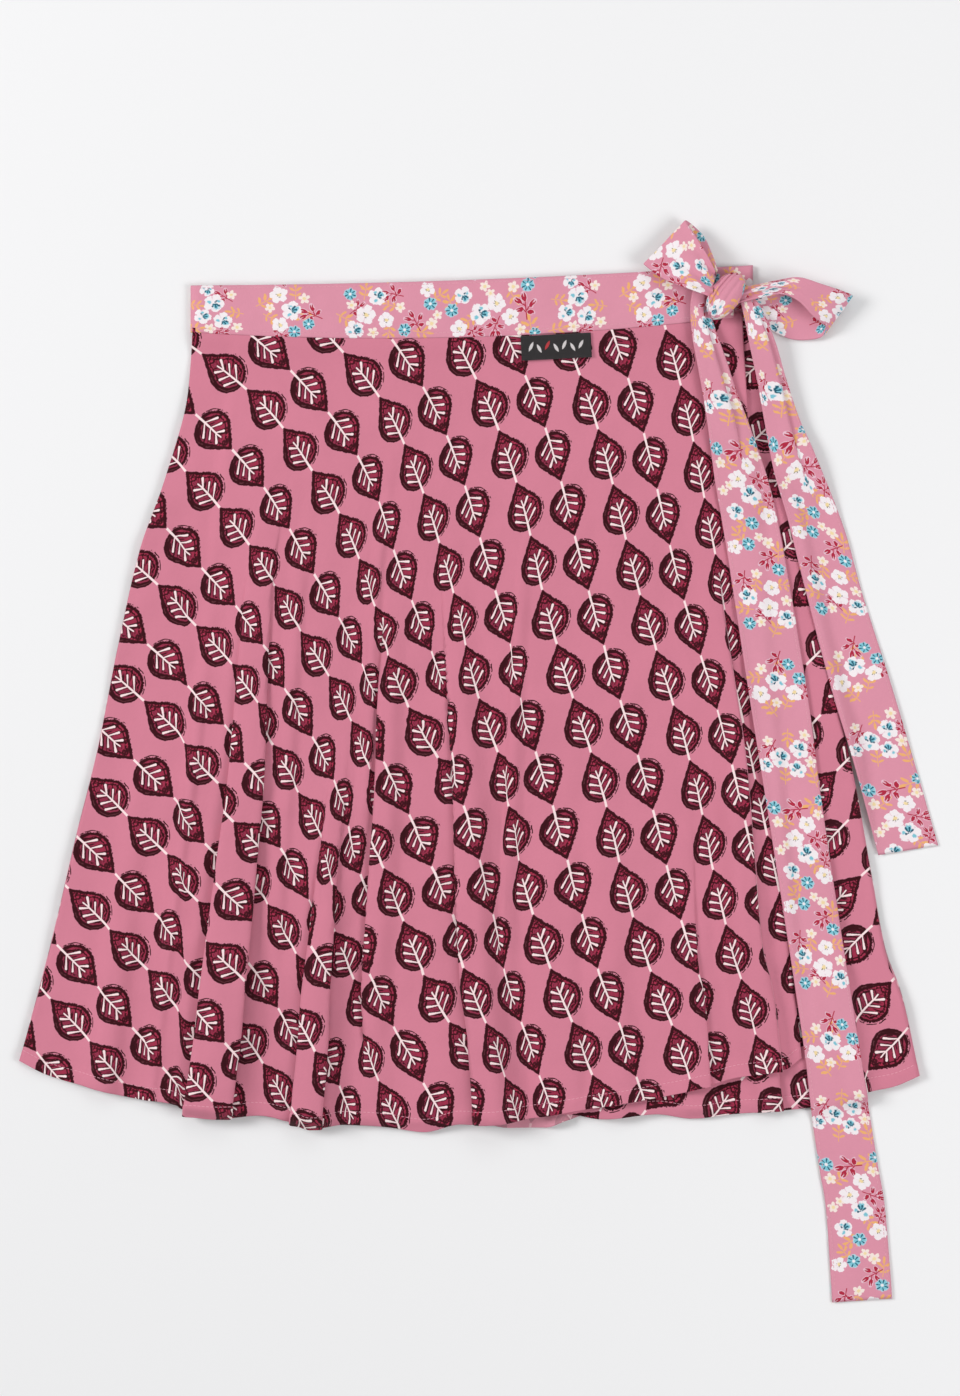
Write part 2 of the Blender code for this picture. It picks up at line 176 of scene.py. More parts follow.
def dress(piece, thickness, faces, offset=1.0, thinner=None):
    # gives the piece its cloth: faces are the right side's and the reverse's materials
    for material in faces:
        piece.data.materials.append(material)
    shell = piece.modifiers.new("cloth", "SOLIDIFY")
    shell.thickness = thickness
    shell.offset = offset
    shell.use_quality_normals = True
    if len(faces) > 1:
        shell.material_offset = 1
        shell.material_offset_rim = 0
    if thinner is not None:
        group = piece.vertex_groups.new(name="turned")
        for index in thinner["thick"]:
            group.add([int(index)], 1.0, "REPLACE")
        shell.vertex_group = "turned"
        shell.thickness_vertex_group = thinner["factor"]


def stitchRow(name, points, lift, spec):
    # one row of machine stitches along a line of points
    points = np.array(points, dtype=float)
    steps = np.linalg.norm(np.diff(points, axis=0), axis=1)
    way = np.concatenate(([0.0], np.cumsum(steps)))
    count = int(way[-1] / spec["pitch"])
    vertices = []
    faces = []
    shape = ((0.0, 0.35, 0.1), (0.18, 0.9, 0.75), (0.5, 1.0, 1.0), (0.82, 0.9, 0.75), (1.0, 0.35, 0.1))
    for n in range(count):
        start = (n + 0.15) * spec["pitch"]
        first = len(vertices)
        for part, width, height in shape:
            at = start + part * spec["length"]
            centre = np.array([np.interp(at, way, points[:, k]) for k in range(3)])
            ahead = np.array([np.interp(at + 0.0004, way, points[:, k]) for k in range(3)]) - centre
            ahead /= max(np.linalg.norm(ahead), 1e-9)
            side = np.cross((0.0, 0.0, 1.0), ahead)
            side /= max(np.linalg.norm(side), 1e-9)
            up = np.cross(ahead, side)
            half = 0.5 * spec["width"] * width
            for angle in (0.0, 60.0, 120.0, 180.0):
                turn = math.radians(angle)
                vertices.append(centre + side * half * math.cos(turn)
                                + up * (lift + spec["height"] * height * math.sin(turn)))
        for k in range(4):
            for m in range(3):
                a = first + 4 * k + m
                faces.append((a, a + 1, a + 5, a + 4))
            faces.append((first + 4 * k + 3, first + 4 * k, first + 4 * k + 4, first + 4 * k + 7))
        faces.append((first, first + 3, first + 2, first + 1))
        faces.append((first + 16, first + 17, first + 18, first + 19))
    mesh = bpy.data.meshes.new(name)
    mesh.from_pydata([tuple(p) for p in vertices], [], faces)
    mesh.shade_smooth()
    return placed(name, mesh)


# material building blocks

def colour(red, green, blue, strength=0.93):
    # screen colour (0 to 255) to the colour of the cloth under this light
    linear = []
    for channel in (red, green, blue):
        c = channel / 255.0
        linear.append(strength * (c / 12.92 if c <= 0.04045 else ((c + 0.055) / 1.055) ** 2.4))
    return (*linear, 1.0)


def link(value, socket):
    if isinstance(value, bpy.types.NodeSocket):
        tree.links.new(value, socket)
    else:
        socket.default_value = value


def calc(operation, a, b=0.0, c=0.0):
    node = tree.nodes.new("ShaderNodeMath")
    node.operation = operation
    for value, socket in zip((a, b, c), node.inputs):
        link(value, socket)
    return node.outputs[0]


def times(a, b):
    return calc("MULTIPLY", a, b)


def timesPlus(a, b, c):
    return calc("MULTIPLY_ADD", a, b, c)


def minus(a, b):
    return calc("SUBTRACT", a, b)


def absolute(a):
    return calc("ABSOLUTE", a)


def larger(a, b):
    return calc("MAXIMUM", a, b)


def smaller(a, b):
    return calc("MINIMUM", a, b)


def vec(operation, a, b=(0.0, 0.0, 0.0), c=(0.0, 0.0, 0.0)):
    node = tree.nodes.new("ShaderNodeVectorMath")
    node.operation = operation
    link(a, node.inputs[0])
    if operation == "SCALE":
        link(b, node.inputs["Scale"])
    else:
        link(b, node.inputs[1])
        if operation == "WRAP":
            link(c, node.inputs[2])
    return node.outputs["Value" if operation in ("LENGTH", "DOT_PRODUCT", "DISTANCE") else "Vector"]


def joinAxes(x, y, z=0.0):
    node = tree.nodes.new("ShaderNodeCombineXYZ")
    for value, socket in zip((x, y, z), node.inputs):
        link(value, socket)
    return node.outputs[0]


def splitAxes(vector):
    node = tree.nodes.new("ShaderNodeSeparateXYZ")
    link(vector, node.inputs[0])
    return node.outputs[0], node.outputs[1], node.outputs[2]


def step(value, low, high):
    # 0 below low, 1 above high, smooth between
    node = tree.nodes.new("ShaderNodeMapRange")
    node.interpolation_type = "SMOOTHSTEP"
    link(value, node.inputs["Value"])
    link(low, node.inputs["From Min"])
    link(high, node.inputs["From Max"])
    return node.outputs["Result"]


def blendNumber(factor, a, b):
    node = tree.nodes.new("ShaderNodeMix")
    node.data_type = "FLOAT"
    link(factor, node.inputs[0])
    link(a, node.inputs[2])
    link(b, node.inputs[3])
    return node.outputs[0]


def blendVector(factor, a, b):
    node = tree.nodes.new("ShaderNodeMix")
    node.data_type = "VECTOR"
    link(factor, node.inputs[0])
    link(a, node.inputs[4])
    link(b, node.inputs[5])
    return node.outputs[1]


def blendColour(factor, a, b):
    node = tree.nodes.new("ShaderNodeMix")
    node.data_type = "RGBA"
    link(factor, node.inputs[0])
    link(a, node.inputs[6])
    link(b, node.inputs[7])
    return node.outputs[2]


def noise(vector, scale, detail=2.0, roughness=0.5):
    node = tree.nodes.new("ShaderNodeTexNoise")
    link(vector, node.inputs["Vector"])
    node.inputs["Scale"].default_value = scale
    node.inputs["Detail"].default_value = detail
    node.inputs["Roughness"].default_value = roughness
    return node.outputs["Fac"]


def clothPlace():
    # place on the flat cloth, in millimetres
    node = tree.nodes.new("ShaderNodeUVMap")
    node.uv_map = "cut"
    return vec("SCALE", node.outputs["UV"], 1000.0)


def finishShader(tone, roughness, height, bumpDistance, sheen, bumpStrength=1.0, specular=0.5):
    bump = tree.nodes.new("ShaderNodeBump")
    bump.inputs["Strength"].default_value = bumpStrength
    bump.inputs["Distance"].default_value = bumpDistance
    link(height, bump.inputs["Height"])
    shader = tree.nodes.new("ShaderNodeBsdfPrincipled")
    link(tone, shader.inputs["Base Color"])
    link(roughness, shader.inputs["Roughness"])
    link(bump.outputs["Normal"], shader.inputs["Normal"])
    shader.inputs["Specular IOR Level"].default_value = specular
    shader.inputs["Sheen Weight"].default_value = sheen
    output = tree.nodes.new("ShaderNodeOutputMaterial")
    tree.links.new(shader.outputs[0], output.inputs["Surface"])


def finishCloth(place, inkColour, spec):
    # woven cotton under the print: thread bump, slubs, soft creases, uneven dye
    x, y, _ = splitAxes(place)
    across = calc("SINE", times(x, 2.0 * math.pi / spec["threadPitch"]))
    down = calc("SINE", times(y, 2.0 * math.pi / spec["threadPitch"]))
    weave = times(across, down)
    slub = noise(vec("MULTIPLY", place, (0.25, 2.4, 1.0)), 1.0, 2.0)
    crease = noise(vec("MULTIPLY", place, (0.05, 0.028, 1.0)), 1.0, 3.0, 0.55)
    fine = noise(place, 0.35, 3.0, 0.6)
    height = times(weave, 0.00003)
    height = timesPlus(slub, 0.00006, height)
    height = timesPlus(fine, 0.00018, height)
    height = timesPlus(crease, spec["creaseDepth"], height)
    tone = timesPlus(noise(place, 0.02, 2.0), 0.10, 0.95)
    tone = timesPlus(minus(slub, 0.5), 0.10, tone)
    tone = timesPlus(weave, 0.015, tone)
    roughness = timesPlus(slub, 0.12, spec["roughness"])
    finishShader(vec("SCALE", inkColour, tone), roughness, height, 1.0, spec["sheen"],
                 spec["bumpStrength"], 0.16)


def emptyMaterial(name):
    # nodes made after this go into the new material
    global tree
    material = bpy.data.materials.new(name)
    material.use_nodes = True
    tree = material.node_tree
    tree.nodes.clear()
    return material


# leaf print

leafPrint = {
    "scale": 1.055,             # size of the whole print; the lengths below are before it
    "chainSpacing": 31.8,       # mm between chains of leaves
    "pitch": 39.4,              # mm from leaf to leaf down a chain
    "lean": 0.0725,             # part of a pitch that each chain starts higher than the last
    "offset": 0.47,             # part of a pitch between neighbouring chains
    "length": 35.0,
    "radius": 13.0,
    "sideStep": 2.0,            # mm that every second chain stands to the left
    "place": (-10.1, -10.3),    # mm the print is moved on the cloth
    "ground": colour(211, 128, 149),
    "dark": colour(54, 2, 14),
    "crescent": colour(112, 62, 70),
    "berry": colour(142, 46, 72),
    "red": colour(182, 46, 76),
    "vein": colour(250, 225, 226),
    # veins of one leaf, mm: from x, y to x, y, half width at each end; y = 0 at the round end
    "veins": ((0.0, -4.6, 0.1, 18.4, 0.78, 0.48), (0.1, 17.6, -0.3, 21.6, 0.42, 0.40),
              (0.2, 16.4, 4.2, 21.8, 0.34, 0.88), (0.0, 16.0, -4.5, 20.2, 0.30, 0.80),
              (0.1, 10.8, 5.5, 15.8, 0.22, 0.62), (0.0, 10.6, -6.6, 14.8, 0.24, 0.78),
              (0.4, 5.0, 7.5, 11.6, 0.26, 0.74), (0.0, 4.8, -7.5, 9.8, 0.24, 0.80)),
}


def capsule(point, spec):
    # distance outside a tapered stroke
    ax, ay, bx, by, startHalf, endHalf = spec
    span = (bx - ax, by - ay, 0.0)
    length = span[0] ** 2 + span[1] ** 2
    rel = vec("SUBTRACT", point, (ax, ay, 0.0))
    t = calc("DIVIDE", vec("DOT_PRODUCT", rel, span), length)
    t = smaller(larger(t, 0.0), 1.0)
    off = vec("LENGTH", vec("SUBTRACT", rel, vec("SCALE", span, t)))
    half = timesPlus(t, endHalf - startHalf, startHalf)
    return minus(off, half)


def leafInk(place, spec):
    u, w, _ = splitAxes(vec("MULTIPLY", vec("ADD", place, (*spec["place"], 0.0)),
                            (1.0 / spec["scale"], -1.0 / spec["scale"], 1.0)))
    chain = calc("FLOOR", calc("DIVIDE", u, spec["chainSpacing"]))
    odd = calc("FLOORED_MODULO", chain, 2.0)
    x = minus(u, timesPlus(chain, spec["chainSpacing"],
                           0.5 * spec["chainSpacing"] + 0.5 * spec["sideStep"]))
    x = timesPlus(odd, spec["sideStep"], x)
    w = timesPlus(chain, spec["lean"] * spec["pitch"], w)
    w = timesPlus(odd, -spec["offset"] * spec["pitch"], w)
    w = calc("FLOORED_MODULO", w, spec["pitch"])
    stem = spec["pitch"] - spec["length"]
    y = blendNumber(odd, minus(spec["length"], w), minus(w, stem))
    turned = times(x, timesPlus(odd, -2.0, 1.0))
    local = joinAxes(x, y, times(odd, 9.0))
    # distance inside the leaf's edge
    tip = math.asin(spec["radius"] / (spec["length"] - spec["radius"]))
    sideX = absolute(x)
    upY = minus(y, spec["radius"])
    line = timesPlus(sideX, math.cos(tip), times(upY, math.sin(tip)))
    circle = vec("LENGTH", joinAxes(sideX, upY))
    onLine = calc("GREATER_THAN", times(upY, math.cos(tip)),
                  times(sideX, math.sin(tip)))
    inside = minus(spec["radius"], blendNumber(onLine, circle, line))
    # brush edges: rough on the right, heavy on the lower left
    ragged = minus(noise(local, 0.95, 2.5, 0.6), 0.5)
    broad = minus(noise(local, 0.28, 1.5), 0.5)
    right = step(x, 0.0, 5.0)
    left = step(times(x, -1.0), -2.0, 8.0)
    low = step(minus(27.0, y), 0.0, 8.0)
    edge = timesPlus(ragged, timesPlus(right, 2.4, 0.7), inside)
    edge = timesPlus(broad, 1.6, edge)
    body = step(edge, -0.15, 0.25)
    outline = timesPlus(times(left, low), 1.5, 2.05)
    outline = timesPlus(ragged, 1.6, outline)
    past = minus(edge, outline)
    berry = step(past, -0.12, 0.22)
    ring = absolute(minus(timesPlus(broad, 1.8, past), 1.55))
    ring = minus(1.0, step(ring, 0.42, 0.72))
    ring = times(ring, step(noise(local, 0.4, 1.0), 0.33, 0.43))
    # a second dark arc low in the round end, and streaks that lean with the veins
    arc = absolute(minus(timesPlus(broad, 2.2, past), 3.3))
    arc = times(step(arc, 0.85, 0.45), step(y, 11.0, 8.0))
    rise = timesPlus(absolute(turned), -0.62, y)
    streak = noise(joinAxes(times(turned, 0.16), rise, odd), 0.62, 1.5)
    streak = times(step(streak, 0.52, 0.58), 0.95)
    nearTip = step(y, 19.0, 26.0)
    blotch = step(noise(local, 0.62, 2.0), 0.50, 0.57)
    blotch = times(blotch, timesPlus(nearTip, 0.85, 0.10))
    crescent = absolute(minus(timesPlus(broad, 1.2, edge), 1.7))
    crescent = times(step(crescent, 0.45, 0.15), times(left, low))
    crescent = times(crescent, step(noise(local, 0.22, 1.0), 0.44, 0.52))
    shade = larger(larger(ring, arc), larger(streak, blotch))
    # loose strokes outside the right of the round end
    away = times(inside, -1.0)
    stroke = absolute(minus(timesPlus(broad, 1.6, away), 1.0))
    stroke = minus(1.0, step(stroke, 0.22, 0.45))
    stroke = times(stroke, step(x, 1.5, 4.0))
    stroke = times(stroke, step(minus(17.0, y), 0.0, 1.5))
    stroke = times(stroke, step(noise(local, 0.33, 1.0), 0.42, 0.50))
    # veins
    veinPoint = joinAxes(turned, y)
    distance = None
    for row in spec["veins"]:
        part = capsule(veinPoint, row)
        distance = part if distance is None else smaller(distance, part)
    distance = timesPlus(ragged, 0.5, distance)
    vein = minus(1.0, step(distance, -0.12, 0.18))
    veinShade = minus(1.0, step(distance, 0.40, 0.85))
    veinShade = times(veinShade, step(noise(local, 0.5, 1.0), 0.42, 0.52))
    shade = larger(shade, times(veinShade, 0.9))
    heat = timesPlus(nearTip, 0.55, times(right, 0.45))
    heat = times(heat, step(noise(local, 0.35, 2.0), 0.3, 0.6))
    inner = blendColour(heat, spec["berry"], spec["red"])
    inner = blendColour(shade, inner, spec["dark"])
    rind = blendColour(times(crescent, 0.55), spec["dark"], spec["crescent"])
    leaf = blendColour(berry, rind, inner)
    ink = blendColour(larger(body, stroke), spec["ground"], leaf)
    ink = blendColour(times(stroke, minus(1.0, body)), ink, spec["dark"])
    return blendColour(vein, ink, spec["vein"])


clothFinish = {"threadPitch": 0.55, "creaseDepth": 0.0015, "bumpStrength": 0.55, "roughness": 0.76,
               "sheen": 0.06}


def leafCloth(name, fade):
    material = emptyMaterial(name)
    place = clothPlace()
    ink = leafInk(place, leafPrint)
    if fade:
        ink = blendColour(fade, ink, colour(222, 158, 173))
    finishCloth(place, ink, clothFinish)
    return material


# flower print

flowerPrint = {
    "repeat": (42.0, 254.0),      # mm, across and along
    "ground": colour(219, 146, 166),
    "white": colour(243, 235, 238),
    "cream": colour(244, 228, 220),
    "shadow": colour(232, 196, 210),
    "teal": colour(126, 196, 212),
    "paleTeal": colour(178, 212, 224),
    "deep": colour(20, 84, 106),
    "yellow": colour(240, 214, 150),
    "stamen": colour(104, 104, 84),
    "mustard": colour(237, 176, 112),
    "crimson": colour(176, 40, 66),
    # each motif's own shapes, in its own size: x, y, turn, half length, half width; strokes: from x, y to
    # x, y, half width at each end
    "sprigsChart": {"leaves": ((0.62, 0.04, 5, 0.38, 0.135), (0.16, 0.38, 56, 0.36, 0.13),
                               (0.22, -0.34, -50, 0.34, 0.125), (-0.42, 0.34, 66, 0.32, 0.12),
                               (-0.40, -0.32, -58, 0.30, 0.11)),
                    "stems": ((-0.95, 0.0, 0.4, 0.0, 0.035, 0.03), (-0.05, 0.0, 0.1, 0.25, 0.03, 0.03),
                              (0.05, 0.0, 0.15, -0.2, 0.03, 0.03), (-0.55, 0.0, -0.45, 0.2, 0.03, 0.03))},
    "berriesChart": {"leaves": ((0.66, 0.16, 14, 0.34, 0.18), (0.40, 0.58, 58, 0.32, 0.17),
                                (0.20, -0.44, -42, 0.32, 0.17), (-0.22, 0.46, 104, 0.30, 0.16),
                                (-0.42, -0.30, -96, 0.26, 0.15)),
                     "stems": ((-0.9, -0.05, 0.35, 0.08, 0.035, 0.03), (0.05, 0.05, 0.25, 0.35, 0.03, 0.03),
                               (-0.3, 0.0, 0.0, -0.25, 0.03, 0.03), (-0.4, 0.0, -0.2, 0.2, 0.03, 0.03)),
                     "splits": ((0.66, 0.16, 1.02, 0.25, 0.005, 0.06), (0.40, 0.58, 0.60, 0.90, 0.005, 0.06),
                                (0.20, -0.44, 0.46, -0.68, 0.005, 0.06),
                                (-0.22, 0.46, -0.30, 0.78, 0.005, 0.06))},
    "daisyStrokes": ((0.30, 0.04, 0.78, 0.12, 0.05, 0.10), (0.18, 0.28, 0.42, 0.66, 0.05, 0.11),
                     (-0.10, 0.34, -0.26, 0.74, 0.04, 0.09), (-0.32, 0.12, -0.74, 0.34, 0.05, 0.11),
                     (-0.26, -0.22, -0.62, -0.46, 0.04, 0.10), (0.02, -0.34, 0.06, -0.80, 0.05, 0.11),
                     (0.26, -0.22, 0.58, -0.52, 0.04, 0.09)),
    "bloomPetals": ((0.52, 0.02, 80, 0.46, 0.44), (0.16, 0.52, 15, 0.46, 0.42), (-0.46, 0.34, 60, 0.44, 0.42),
                    (-0.44, -0.34, 120, 0.46, 0.40), (0.14, -0.54, 165, 0.48, 0.42),
                    (0.0, 0.0, 0, 0.50, 0.46)),
    "bloomWash": ((0.34, 0.10, 20, 0.46, 0.42), (-0.22, -0.40, 40, 0.26, 0.20), (-0.10, 0.44, 0, 0.24, 0.18)),
    "bloomStrokes": ((0.06, 0.10, 0.34, 0.36, 0.05, 0.10), (0.10, 0.02, 0.44, 0.06, 0.05, 0.09),
                     (0.06, -0.08, 0.30, -0.24, 0.05, 0.08), (-0.08, 0.10, -0.20, 0.28, 0.04, 0.08)),
    "bloomHeart": ((0.04, 0.04, 30, 0.30, 0.22),),
    "stamens": ((-0.26, -0.12, -0.14, -0.06, 0.03, 0.045), (0.20, -0.18, 0.28, -0.10, 0.03, 0.045),
                (-0.02, -0.24, 0.0, -0.14, 0.025, 0.04), (0.04, 0.24, 0.08, 0.32, 0.02, 0.03)),
    # each row: x, y, turn in degrees, size in mm, and for blooms 1 with a blue heart, 0 with a yellow one
    "blooms": ((11, 12, 20, 6.6, 1), (24, 24, 70, 8.0, 1), (17, 35, 10, 7.0, 0), (27, 45, 120, 6.4, 0),
               (34, 9, 40, 6.4, 0), (15, 92, 15, 7.8, 1), (26, 84, 80, 6.6, 1), (29, 98, 30, 7.0, 1),
               (4, 87, 0, 5.6, 1), (8, 137, 50, 6.8, 0), (20, 146, 95, 7.6, 1), (31, 138, 10, 6.2, 0),
               (34, 190, 60, 7.2, 1), (23, 198, 20, 7.4, 0), (10, 206, 100, 6.8, 1), (27, 212, 35, 6.0, 0),
               (6, 241, 70, 5.6, 0)),
    "buds": ((5, 27, 10, 4.0, 0), (10, 31, 60, 3.6, 0), (6, 47, 20, 4.4, 0), (36, 52, 50, 4.2, 0),
             (36, 89, 15, 4.4, 0), (34, 108, 70, 4.2, 0), (8, 104, 30, 3.8, 0), (18, 131, 5, 3.8, 0),
             (11, 155, 40, 4.2, 0), (36, 203, 80, 4.2, 0), (16, 188, 25, 3.8, 0), (18, 222, 0, 4.0, 0),
             (30, 244, 45, 4.4, 0), (24, 248, 45, 3.6, 0)),
    "daisies": ((21, 4, 0, 4.8, 0), (5, 57, 20, 5.0, 0), (39, 62, 45, 4.2, 0), (36, 148, 10, 4.8, 0),
                (30, 158, 30, 4.4, 0), (8, 187, 15, 4.6, 0), (34, 225, 60, 4.8, 0), (16, 243, 35, 4.8, 0)),
    "sprigs": ((15, 3, 200, 8.0, 0), (29, 15, 300, 7.5, 0), (13, 47, 30, 7.5, 0), (33, 59, 190, 9.5, 0),
               (17, 80, 80, 7.0, 0), (37, 79, 100, 8.0, 0), (22, 106, 260, 7.0, 0), (13, 128, 120, 8.0, 0),
               (26, 132, 60, 7.0, 0), (5, 149, 180, 7.0, 0), (25, 156, 280, 8.0, 0), (26, 184, 60, 8.0, 0),
               (5, 198, 170, 7.5, 0), (36, 214, 350, 7.0, 0), (16, 214, 250, 7.5, 0), (36, 238, 80, 7.5, 0),
               (10, 250, 120, 7.0, 0)),
    "berries": ((37, 20, 60, 7.0, 0), (33, 34, 330, 8.5, 0), (20, 56, 180, 10.0, 0), (9, 99, 230, 8.0, 0),
                (39, 97, 60, 6.5, 0), (22, 160, 240, 9.0, 0), (38, 138, 20, 7.0, 0), (19, 192, 120, 7.0, 0),
                (8, 217, 250, 8.5, 0), (28, 233, 200, 8.5, 0)),
}


def nearestOf(place, rows, repeat):
    # of the charted motifs, the one whose middle is nearest: how far, at what angle, its kind,
    # and the place on it in its own lengths
    best = None
    half = (0.5 * repeat[0], 0.5 * repeat[1], 1.0)
    low = tuple(-h for h in half)
    for x, y, turn, size, kind in rows:
        rel = vec("WRAP", vec("SUBTRACT", place, (x, y, 0.0)), half, low)
        away = calc("DIVIDE", vec("LENGTH", rel), size)
        facts = (math.radians(turn), size, float(kind))
        if best is None:
            best = (away, rel, facts)
            continue
        closer = calc("LESS_THAN", away, best[0])
        best = (smaller(away, best[0]), blendVector(closer, best[1], rel),
                blendVector(closer, best[2], facts))
    reach, rel, facts = best
    turn, size, kind = splitAxes(facts)
    spin = tree.nodes.new("ShaderNodeVectorRotate")
    spin.rotation_type = "Z_AXIS"
    link(rel, spin.inputs["Vector"])
    link(times(turn, -1.0), spin.inputs["Angle"])
    own = vec("SCALE", spin.outputs[0], calc("DIVIDE", 1.0, size))
    x, y, _ = splitAxes(own)
    return reach, calc("ARCTAN2", y, x), kind, own


def petals(angle, count, depth, softness):
    # radius, as a part of the size, of a flower with round petals
    swing = absolute(calc("COSINE", times(angle, 0.5 * count)))
    return timesPlus(calc("POWER", swing, softness), depth, 1.0 - depth)


def ovals(point, rows):
    # 1 in the middle of the nearest oval, 0 on its edge; each row: x, y, turn, half length, half width
    most = None
    for x, y, turn, long, wide in rows:
        c, s = math.cos(math.radians(turn)), math.sin(math.radians(turn))
        rel = vec("SUBTRACT", point, (x, y, 0.0))
        lengthways = vec("DOT_PRODUCT", rel, (c / long, s / long, 0.0))
        across = vec("DOT_PRODUCT", rel, (-s / wide, c / wide, 0.0))
        room = minus(1.0, vec("LENGTH", joinAxes(lengthways, across)))
        most = room if most is None else larger(most, room)
    return most


def strokes(point, rows):
    # distance outside the nearest of some tapered strokes
    least = None
    for row in rows:
        part = capsule(point, row)
        least = part if least is None else smaller(least, part)
    return least


def flowerInk(place, spec):
    wobble = minus(noise(place, 0.5, 2.0), 0.5)
    ragged = minus(noise(place, 1.1, 1.5), 0.5)
    ink = spec["ground"]
    # mustard leaf sprigs and crimson berry sprigs
    for rows, tone, rim in (("sprigs", "mustard", 0.0), ("berries", "crimson", 0.9)):
        chart = spec[rows + "Chart"]
        reach, _, _, own = nearestOf(place, spec[rows], spec["repeat"])
        own = vec("ADD", own, joinAxes(times(wobble, 0.25), 0.0))
        leaves = timesPlus(wobble, 0.5, ovals(own, chart["leaves"]))
        stems = strokes(own, chart["stems"])
        within = step(reach, 1.3, 1.2)
        if rim:
            edge = times(step(leaves, -0.30, -0.12), rim)
            ink = blendColour(times(edge, within), ink, spec["shadow"])
        shape = larger(step(leaves, 0.0, 0.10), step(stems, 0.02, -0.01))
        if rim:
            # a pale split down every drop
            shape = times(shape, step(strokes(own, chart["splits"]), -0.02, 0.03))
        ink = blendColour(times(shape, within), ink, spec[tone])
    # small cream buds: five pointed petals, yellow middle
    reach, angle, _, _ = nearestOf(place, spec["buds"], spec["repeat"])
    outline = petals(angle, 5.0, 0.5, 0.8)
    outline = timesPlus(wobble, 0.7, outline)
    ink = blendColour(step(minus(outline, reach), -0.02, 0.08), ink, spec["cream"])
    heart = step(timesPlus(ragged, 0.4, reach), 0.38, 0.20)
    ink = blendColour(times(heart, 0.8), ink, spec["yellow"])
    # small blue daisies: dark brush strokes round a pale middle
    reach, angle, _, own = nearestOf(place, spec["daisies"], spec["repeat"])
    outline = petals(angle, 7.0, 0.16, 0.7)
    outline = timesPlus(wobble, 0.6, outline)
    room = minus(outline, reach)
    disc = blendColour(step(room, 0.05, 0.30), spec["paleTeal"], spec["teal"])
    disc = blendColour(step(reach, 0.30, 0.12), disc, spec["white"])
    dark = timesPlus(ragged, 0.16, strokes(own, spec["daisyStrokes"]))
    disc = blendColour(step(dark, 0.03, -0.03), disc, spec["deep"])
    ink = blendColour(step(room, -0.02, 0.06), ink, disc)
    # large blooms: five loose petals, washed blue to one side or with a yellow heart
    reach, _, kind, own = nearestOf(place, spec["blooms"], spec["repeat"])
    petal = ovals(own, spec["bloomPetals"])
    petal = timesPlus(wobble, 0.85, timesPlus(ragged, 0.30, petal))
    bloom = step(petal, 0.0, 0.09)
    between = times(step(petal, 0.30, 0.12), step(reach, 0.80, 0.66))
    face = blendColour(times(between, 0.85), spec["white"], spec["shadow"])
    wash = timesPlus(wobble, 1.6, ovals(own, spec["bloomWash"]))
    wash = times(step(wash, 0.0, 0.55), step(petal, 0.10, 0.28))
    blue = blendColour(wash, face, spec["teal"])
    dark = timesPlus(ragged, 0.22, strokes(own, spec["bloomStrokes"]))
    blue = blendColour(step(dark, 0.04, -0.04), blue, spec["deep"])
    heart = timesPlus(wobble, 0.9, ovals(own, spec["bloomHeart"]))
    gold = blendColour(times(step(heart, 0.0, 0.4), 0.9), face, spec["yellow"])
    dark = timesPlus(ragged, 0.14, strokes(own, spec["stamens"]))
    gold = blendColour(step(dark, 0.03, -0.03), gold, spec["stamen"])
    return blendColour(bloom, ink, blendColour(kind, gold, blue))


def flowerCloth(name):
    material = emptyMaterial(name)
    place = clothPlace()
    wrapped = vec("WRAP", place, (*flowerPrint["repeat"], 1.0), (0.0, 0.0, -1.0))
    ink = flowerInk(wrapped, flowerPrint)
    finishCloth(place, ink, clothFinish)
    return material


def plainThread(name, tone):
    material = emptyMaterial(name)
    place = tree.nodes.new("ShaderNodeTexCoord").outputs["Object"]
    twist = noise(place, 2600.0, 2.0)
    tone = vec("SCALE", tone[:3], timesPlus(twist, 0.3, 0.85))
    finishShader(tone, timesPlus(twist, 0.2, 0.5), twist, 0.0001, 0.15)
    return material


labelWeave = {
    "ground": colour(30, 25, 27),
    "white": colour(232, 226, 226),
    "red": colour(196, 48, 56),
    "size": (49.0, 17.0),         # mm
    # woven leaf sprig: x, y, turn in degrees, length in mm, 1 for the red leaf
    "leaves": ((7.0, 9.4, 62, 7.6, 0), (12.6, 7.8, -64, 7.0, 0), (18.4, 9.8, 60, 7.6, 1),
               (24.4, 7.8, -62, 7.2, 0), (30.2, 9.6, 64, 7.4, 0), (36.0, 7.8, -62, 7.0, 0),
               (41.8, 9.4, 60, 7.2, 0)),
}


